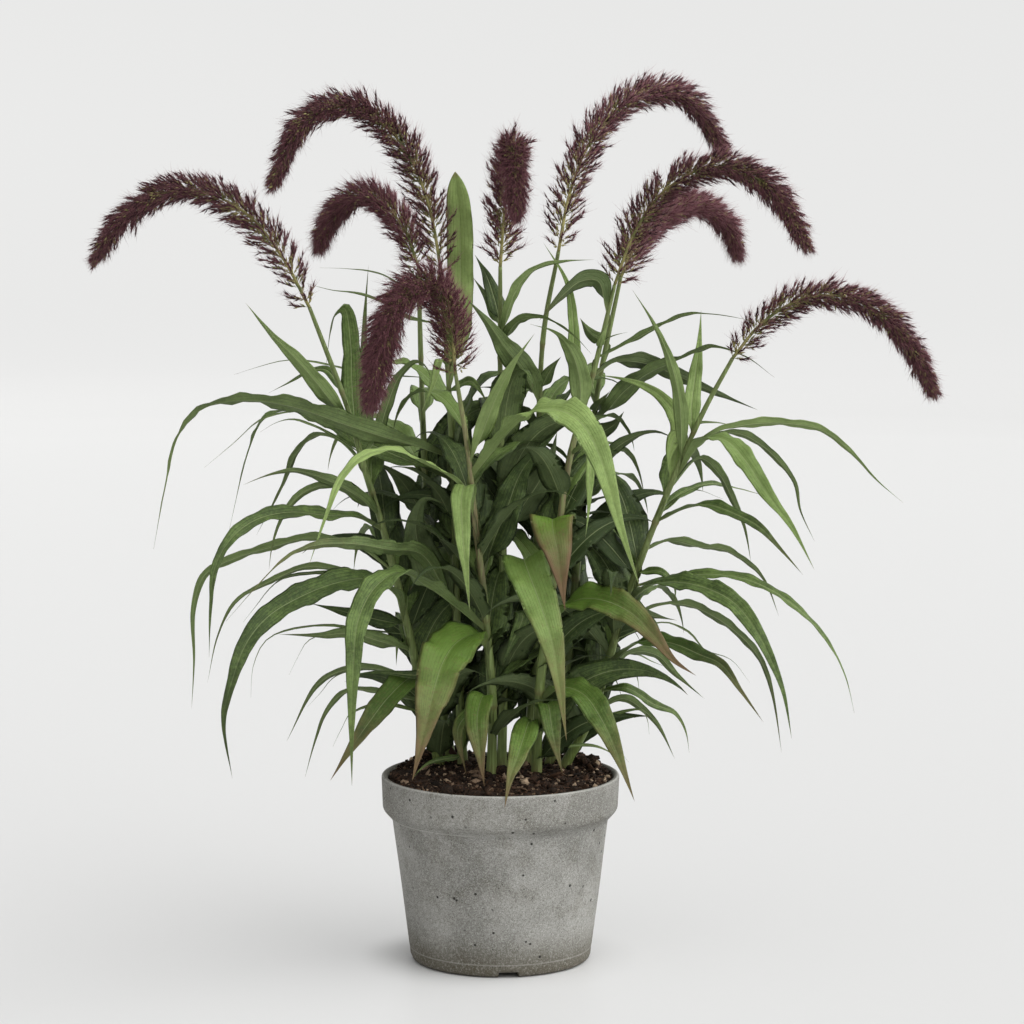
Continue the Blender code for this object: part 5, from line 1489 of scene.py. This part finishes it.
class MilletSizes(bpy.types.PropertyGroup):
    """Sizes in millimetres, and counts."""

    blade_thickness: size_property("Blade thickness", "Leaf thickness, mm", 0.55, 0.1)
    midrib_height: size_property("Midrib height", "Ridge under a leaf, mm", 0.9)
    wave_height: size_property("Margin wave", "Share of the half-breadth", 0.2)
    wave_length: size_property("Wave length", "Between margin waves, mm", 48, 5)
    tufts_per_mm: size_property("Tufts", "Tufts for each mm of plume", 1.5, 0.1)
    tuft_length: size_property("Tuft length", "mm", 18, 1)
    spikelets: count_property("Spikelets", "Spikelets in a tuft", 9, 1)
    husks: count_property("Husks", "Green husks low in a tuft", 4)
    spikelet_length: size_property("Spikelet length", "mm", 6.4, 1)
    bristles: count_property("Bristles", "Bristles in a tuft", 20)
    bristle_length: size_property("Bristle length", "mm", 11, 1)
    bristle_radius: size_property("Bristle radius", "At its foot, mm", 0.17, 0.05)
    axis_radius: size_property("Axis radius", "Of a plume's axis at its foot, mm", 1.7, 0.5)
    grain_count: count_property("Grains", "Grains on the soil", 3000)
    grain_size: size_property("Grain size", "Usual half-width, mm", 1.3, 0.3)
    heap_height: size_property("Heaps", "Soil heaped at the back, mm", 8.5)


def colour_property(name, description, default):
    return FloatVectorProperty(
        name=name, description=description, default=default, subtype="COLOR", size=3, min=0, max=1
    )


class MilletColours(bpy.types.PropertyGroup):
    """Linear colours of every finish."""

    pot: colour_property("Pot", "Concrete grey", (0.178, 0.177, 0.163))
    pot_light: colour_property("Pot, light", "Paler patches", (0.300, 0.298, 0.278))
    # Pale sand, mould line and line under the band, and the painted highlight along the lip
    pot_pale: colour_property("Pot, pale", "Worn edges and pale sand", (0.440, 0.436, 0.405))
    # Brown of the foot's real stain and of the grain, also the painted shade on the band and inside the rim
    pot_stain: colour_property("Pot, stained", "Brown of the foot", (0.066, 0.056, 0.034))
    pot_pit: colour_property("Pot, pits", "Inside the small pits", (0.022, 0.020, 0.017))
    soil: colour_property("Soil", "Dark potting mix", (0.010, 0.0065, 0.004))
    bark: colour_property("Bark", "Brown flakes", (0.098, 0.050, 0.028))
    grit: colour_property("Grit", "Pale stones", (0.42, 0.31, 0.21))
    stem: colour_property("Stem", "Olive green", (0.120, 0.143, 0.048))
    stem_foot: colour_property("Stem foot", "Light green", (0.118, 0.160, 0.036))
    stem_tan: colour_property("Stem, tan", "Tan stretch of some stems", (0.215, 0.168, 0.094))
    joint: colour_property("Joints", "Brown rings", (0.150, 0.120, 0.050))
    # Light green: partly the lit leaves' own paler green, partly painted light; also the stems' pale streaks
    leaf_light: colour_property("Leaf, light", "Lit outer leaves", (0.275, 0.375, 0.120))
    leaf_fresh: colour_property("Leaf, fresh", "Blushed leaves near their stem", (0.115, 0.215, 0.022))
    leaf: colour_property("Leaf", "Middle green", (0.138, 0.205, 0.056))
    # Dark green: partly the inner leaves' own darker green, partly painted shade
    leaf_dark: colour_property("Leaf, dark", "Inner leaves", (0.034, 0.055, 0.016))
    leaf_olive: colour_property("Leaf, olive", "Blushed leaves further out", (0.150, 0.130, 0.045))
    leaf_under: colour_property("Leaf underside", "Paler and greyer", (0.160, 0.205, 0.092))
    midrib: colour_property("Midrib", "Pale green", (0.300, 0.350, 0.165))
    blush: colour_property("Blush", "Reddish brown", (0.150, 0.092, 0.046))
    dry_tip: colour_property("Dry point", "Tan", (0.24, 0.17, 0.09))
    plume_axis: colour_property("Plume axis", "Olive green", (0.330, 0.300, 0.120))
    spikelet: colour_property("Spikelet", "Dark purple brown", (0.030, 0.0105, 0.0135))
    spikelet_light: colour_property("Spikelet, light", "Purple", (0.140, 0.050, 0.060))
    bristle: colour_property("Bristle", "Light purple", (0.255, 0.114, 0.126))
    floor: colour_property("Floor", "Studio floor", (0.335, 0.335, 0.331))
    floor_near: colour_property("Floor near", "Studio floor by the pot", (0.59, 0.59, 0.584))
    # Painted light: the floor's glow away from the pot, which lifts the shadows on it
    floor_glow: colour_property("Floor glow", "Softens the shadow", (0.315, 0.315, 0.313))
    wall: colour_property("Wall", "Glow of the wall", (0.785, 0.785, 0.778))
    daylight: colour_property("Daylight", "Light from all round", (1.0, 1.0, 1.0))


class MilletOperator:
    """What the operators share."""

    bl_options = {"REGISTER", "UNDO"}

    def execute(self, context):
        self.make(context.scene.millet_sizes, context.scene.millet_colours)
        return {"FINISHED"}


class MILLET_OT_pot(MilletOperator, bpy.types.Operator):
    """Make the pot"""

    bl_idname = "millet.pot"
    bl_label = "Pot"

    def make(self, sizes, colours):
        piece("pot_cast", pot_surface(), pot_concrete(colours), "pot", "pot")


class MILLET_OT_soil(MilletOperator, bpy.types.Operator):
    """Make the soil and its crumbs, bark and grit"""

    bl_idname = "millet.soil"
    bl_label = "Soil"

    def make(self, sizes, colours):
        piece("soil_bed", soil_surface(sizes), soil_crumbs(colours), "soil", "soil")
        piece("soil_grains", soil_grains(sizes), soil_crumbs(colours), "soil")


class MILLET_OT_stems(MilletOperator, bpy.types.Operator):
    """Make each stem with its joints and sheaths"""

    bl_idname = "millet.stems"
    bl_label = "Stems"

    def make(self, sizes, colours):
        for name in STEMS:
            piece(f"culm_{name}", stem_surface(name, FINE_STEM), stem_skin(colours), "stem", f"stem_{name}")


class MILLET_OT_main_leaves(MilletOperator, bpy.types.Operator):
    """Make each main leaf in place of its node"""

    bl_idname = "millet.main_leaves"
    bl_label = "Main leaves"

    def make(self, sizes, colours):
        for name, blade in zip(MAIN_LEAVES, main_blades()):
            shape = blade_surface(blade, sizes, MAIN_DETAIL)
            piece(f"leaf_{name}_blade", shape, leaf_skin(colours), "leaf", f"leaf_{name}")


class MILLET_OT_small_leaves(MilletOperator, bpy.types.Operator):
    """Make the smaller leaves, those of the back and those of the middle, joined for each stem"""

    bl_idname = "millet.small_leaves"
    bl_label = "Small leaves"

    def make(self, sizes, colours):
        fused, loose = small_blades() + back_blades(), extra_blades() + inner_blades()
        for name in STEMS:
            shapes = [blade_surface(blade, sizes, SMALL_DETAIL) for blade in fused if blade.leaf.stem == name]
            piece(f"small_leaves_{name}", joined(shapes), leaf_skin(colours), "leaf", f"stem_{name}")
            shapes = [blade_surface(blade, sizes, INNER_DETAIL) for blade in loose if blade.leaf.stem == name]
            piece(f"inner_leaves_{name}", joined(shapes), leaf_skin(colours), "leaf")


class MILLET_OT_plumes(MilletOperator, bpy.types.Operator):
    """Make each plume's axis, spikelets and bristles"""

    bl_idname = "millet.plumes"
    bl_label = "Plumes"

    def make(self, sizes, colours):
        for name in STEMS:
            shape = plume_surface(name, sizes)
            piece(f"bristles_{name}", shape, plume_hair(colours), "plume", f"plume_{name}")


def stage_floor(colours):
    """A disc that curves up at its edge into a round wall: rings of quads and a fan in the middle."""
    turn = np.linspace(0, 2 * np.pi, COVE_SEGMENTS, endpoint=False)
    bend = np.linspace(0, np.pi / 2, 9)
    radius = np.concatenate([FLOOR_RINGS, COVE_RADIUS - COVE_BEND * (1 - np.sin(bend)), [COVE_RADIUS]])
    height = np.concatenate([0 * FLOOR_RINGS, COVE_BEND * (1 - np.cos(bend)), [COVE_HEIGHT]])
    x, y = radius[:, None] * np.cos(turn), radius[:, None] * np.sin(turn)
    rings = np.stack([x, y, height[:, None] + 0 * turn], axis=-1)
    side = np.arange(COVE_SEGMENTS)
    after = (side + 1) % COVE_SEGMENTS
    low = 1 + np.arange(len(radius) - 1)[:, None] * COVE_SEGMENTS
    high = low + COVE_SEGMENTS
    quads = np.stack([low + side, high + side, high + after, low + after], axis=-1)
    fan = np.stack([0 * side, side + 1, after + 1], axis=1)
    mesh = bpy.data.meshes.new("floor")
    points = [(0, 0, 0)] + rings.reshape(-1, 3).tolist()
    mesh.from_pydata(points, [], quads.reshape(-1, 4).tolist() + fan.tolist())
    mesh.shade_smooth()
    mesh.materials.append(studio_grey(colours))
    floor = add(bpy.data.objects.new("floor", mesh))


def stage_light(colours):
    """The suns, and even daylight from all round."""
    for name, turn, height, width, strength in SUNS:
        light = bpy.data.lights.new(name, "SUN")
        light.angle = math.radians(width)
        light.energy = strength
        sun = add(bpy.data.objects.new(name, light))
        sun.rotation_euler = (math.radians(90 - height), 0, math.radians(turn))
    world = bpy.data.worlds.new("daylight")
    world.use_nodes = True
    background = world.node_tree.nodes["Background"].inputs
    background["Color"].default_value = (*colours.daylight, 1)
    background["Strength"].default_value = DAYLIGHT_STRENGTH
    bpy.context.scene.world = world


def stage_camera():
    """The camera at the eye point, tipped a little down."""
    camera = add(bpy.data.objects.new("camera", bpy.data.cameras.new("camera")))
    camera.location = EYE * MM
    camera.rotation_euler = (math.radians(90 - CAMERA_PITCH), 0, 0)
    camera.data.lens = CAMERA_LENS
    bpy.context.scene.camera = camera
    bpy.context.scene.view_settings.view_transform = "Standard"


class MILLET_OT_stage(MilletOperator, bpy.types.Operator):
    """Make the floor, the light and the camera"""

    bl_idname = "millet.stage"
    bl_label = "Stage"

    def make(self, sizes, colours):
        stage_floor(colours)
        stage_light(colours)
        stage_camera()


class MILLET_PT_panel(bpy.types.Panel):
    """The millet's sizes, colours and steps in the sidebar"""

    bl_idname = "MILLET_PT_panel"
    bl_label = "Potted Ornamental Millet"
    bl_space_type = "VIEW_3D"
    bl_region_type = "UI"
    bl_category = "Millet"

    def draw(self, context):
        for group in (context.scene.millet_sizes, context.scene.millet_colours):
            column = self.layout.column()
            for key in type(group).__annotations__:
                column.prop(group, key)
        for operator in OPERATORS:
            self.layout.operator(operator.bl_idname)


OPERATORS = (
    MILLET_OT_pot, MILLET_OT_soil, MILLET_OT_stems, MILLET_OT_main_leaves, MILLET_OT_small_leaves,
    MILLET_OT_plumes, MILLET_OT_stage,
)
CLASSES = (MilletSizes, MilletColours, *OPERATORS, MILLET_PT_panel)


def register():
    for each in CLASSES:
        bpy.utils.register_class(each)
    bpy.types.Scene.millet_sizes = PointerProperty(type=MilletSizes)
    bpy.types.Scene.millet_colours = PointerProperty(type=MilletColours)


def unregister():
    del bpy.types.Scene.millet_colours
    del bpy.types.Scene.millet_sizes
    for each in reversed(CLASSES):
        bpy.utils.unregister_class(each)


def main():
    register()
    bpy.ops.millet.pot()
    bpy.ops.millet.soil()
    bpy.ops.millet.stems()
    bpy.ops.millet.main_leaves()
    bpy.ops.millet.small_leaves()
    bpy.ops.millet.plumes()
    bpy.ops.millet.stage()


if __name__ == "__main__":
    main()
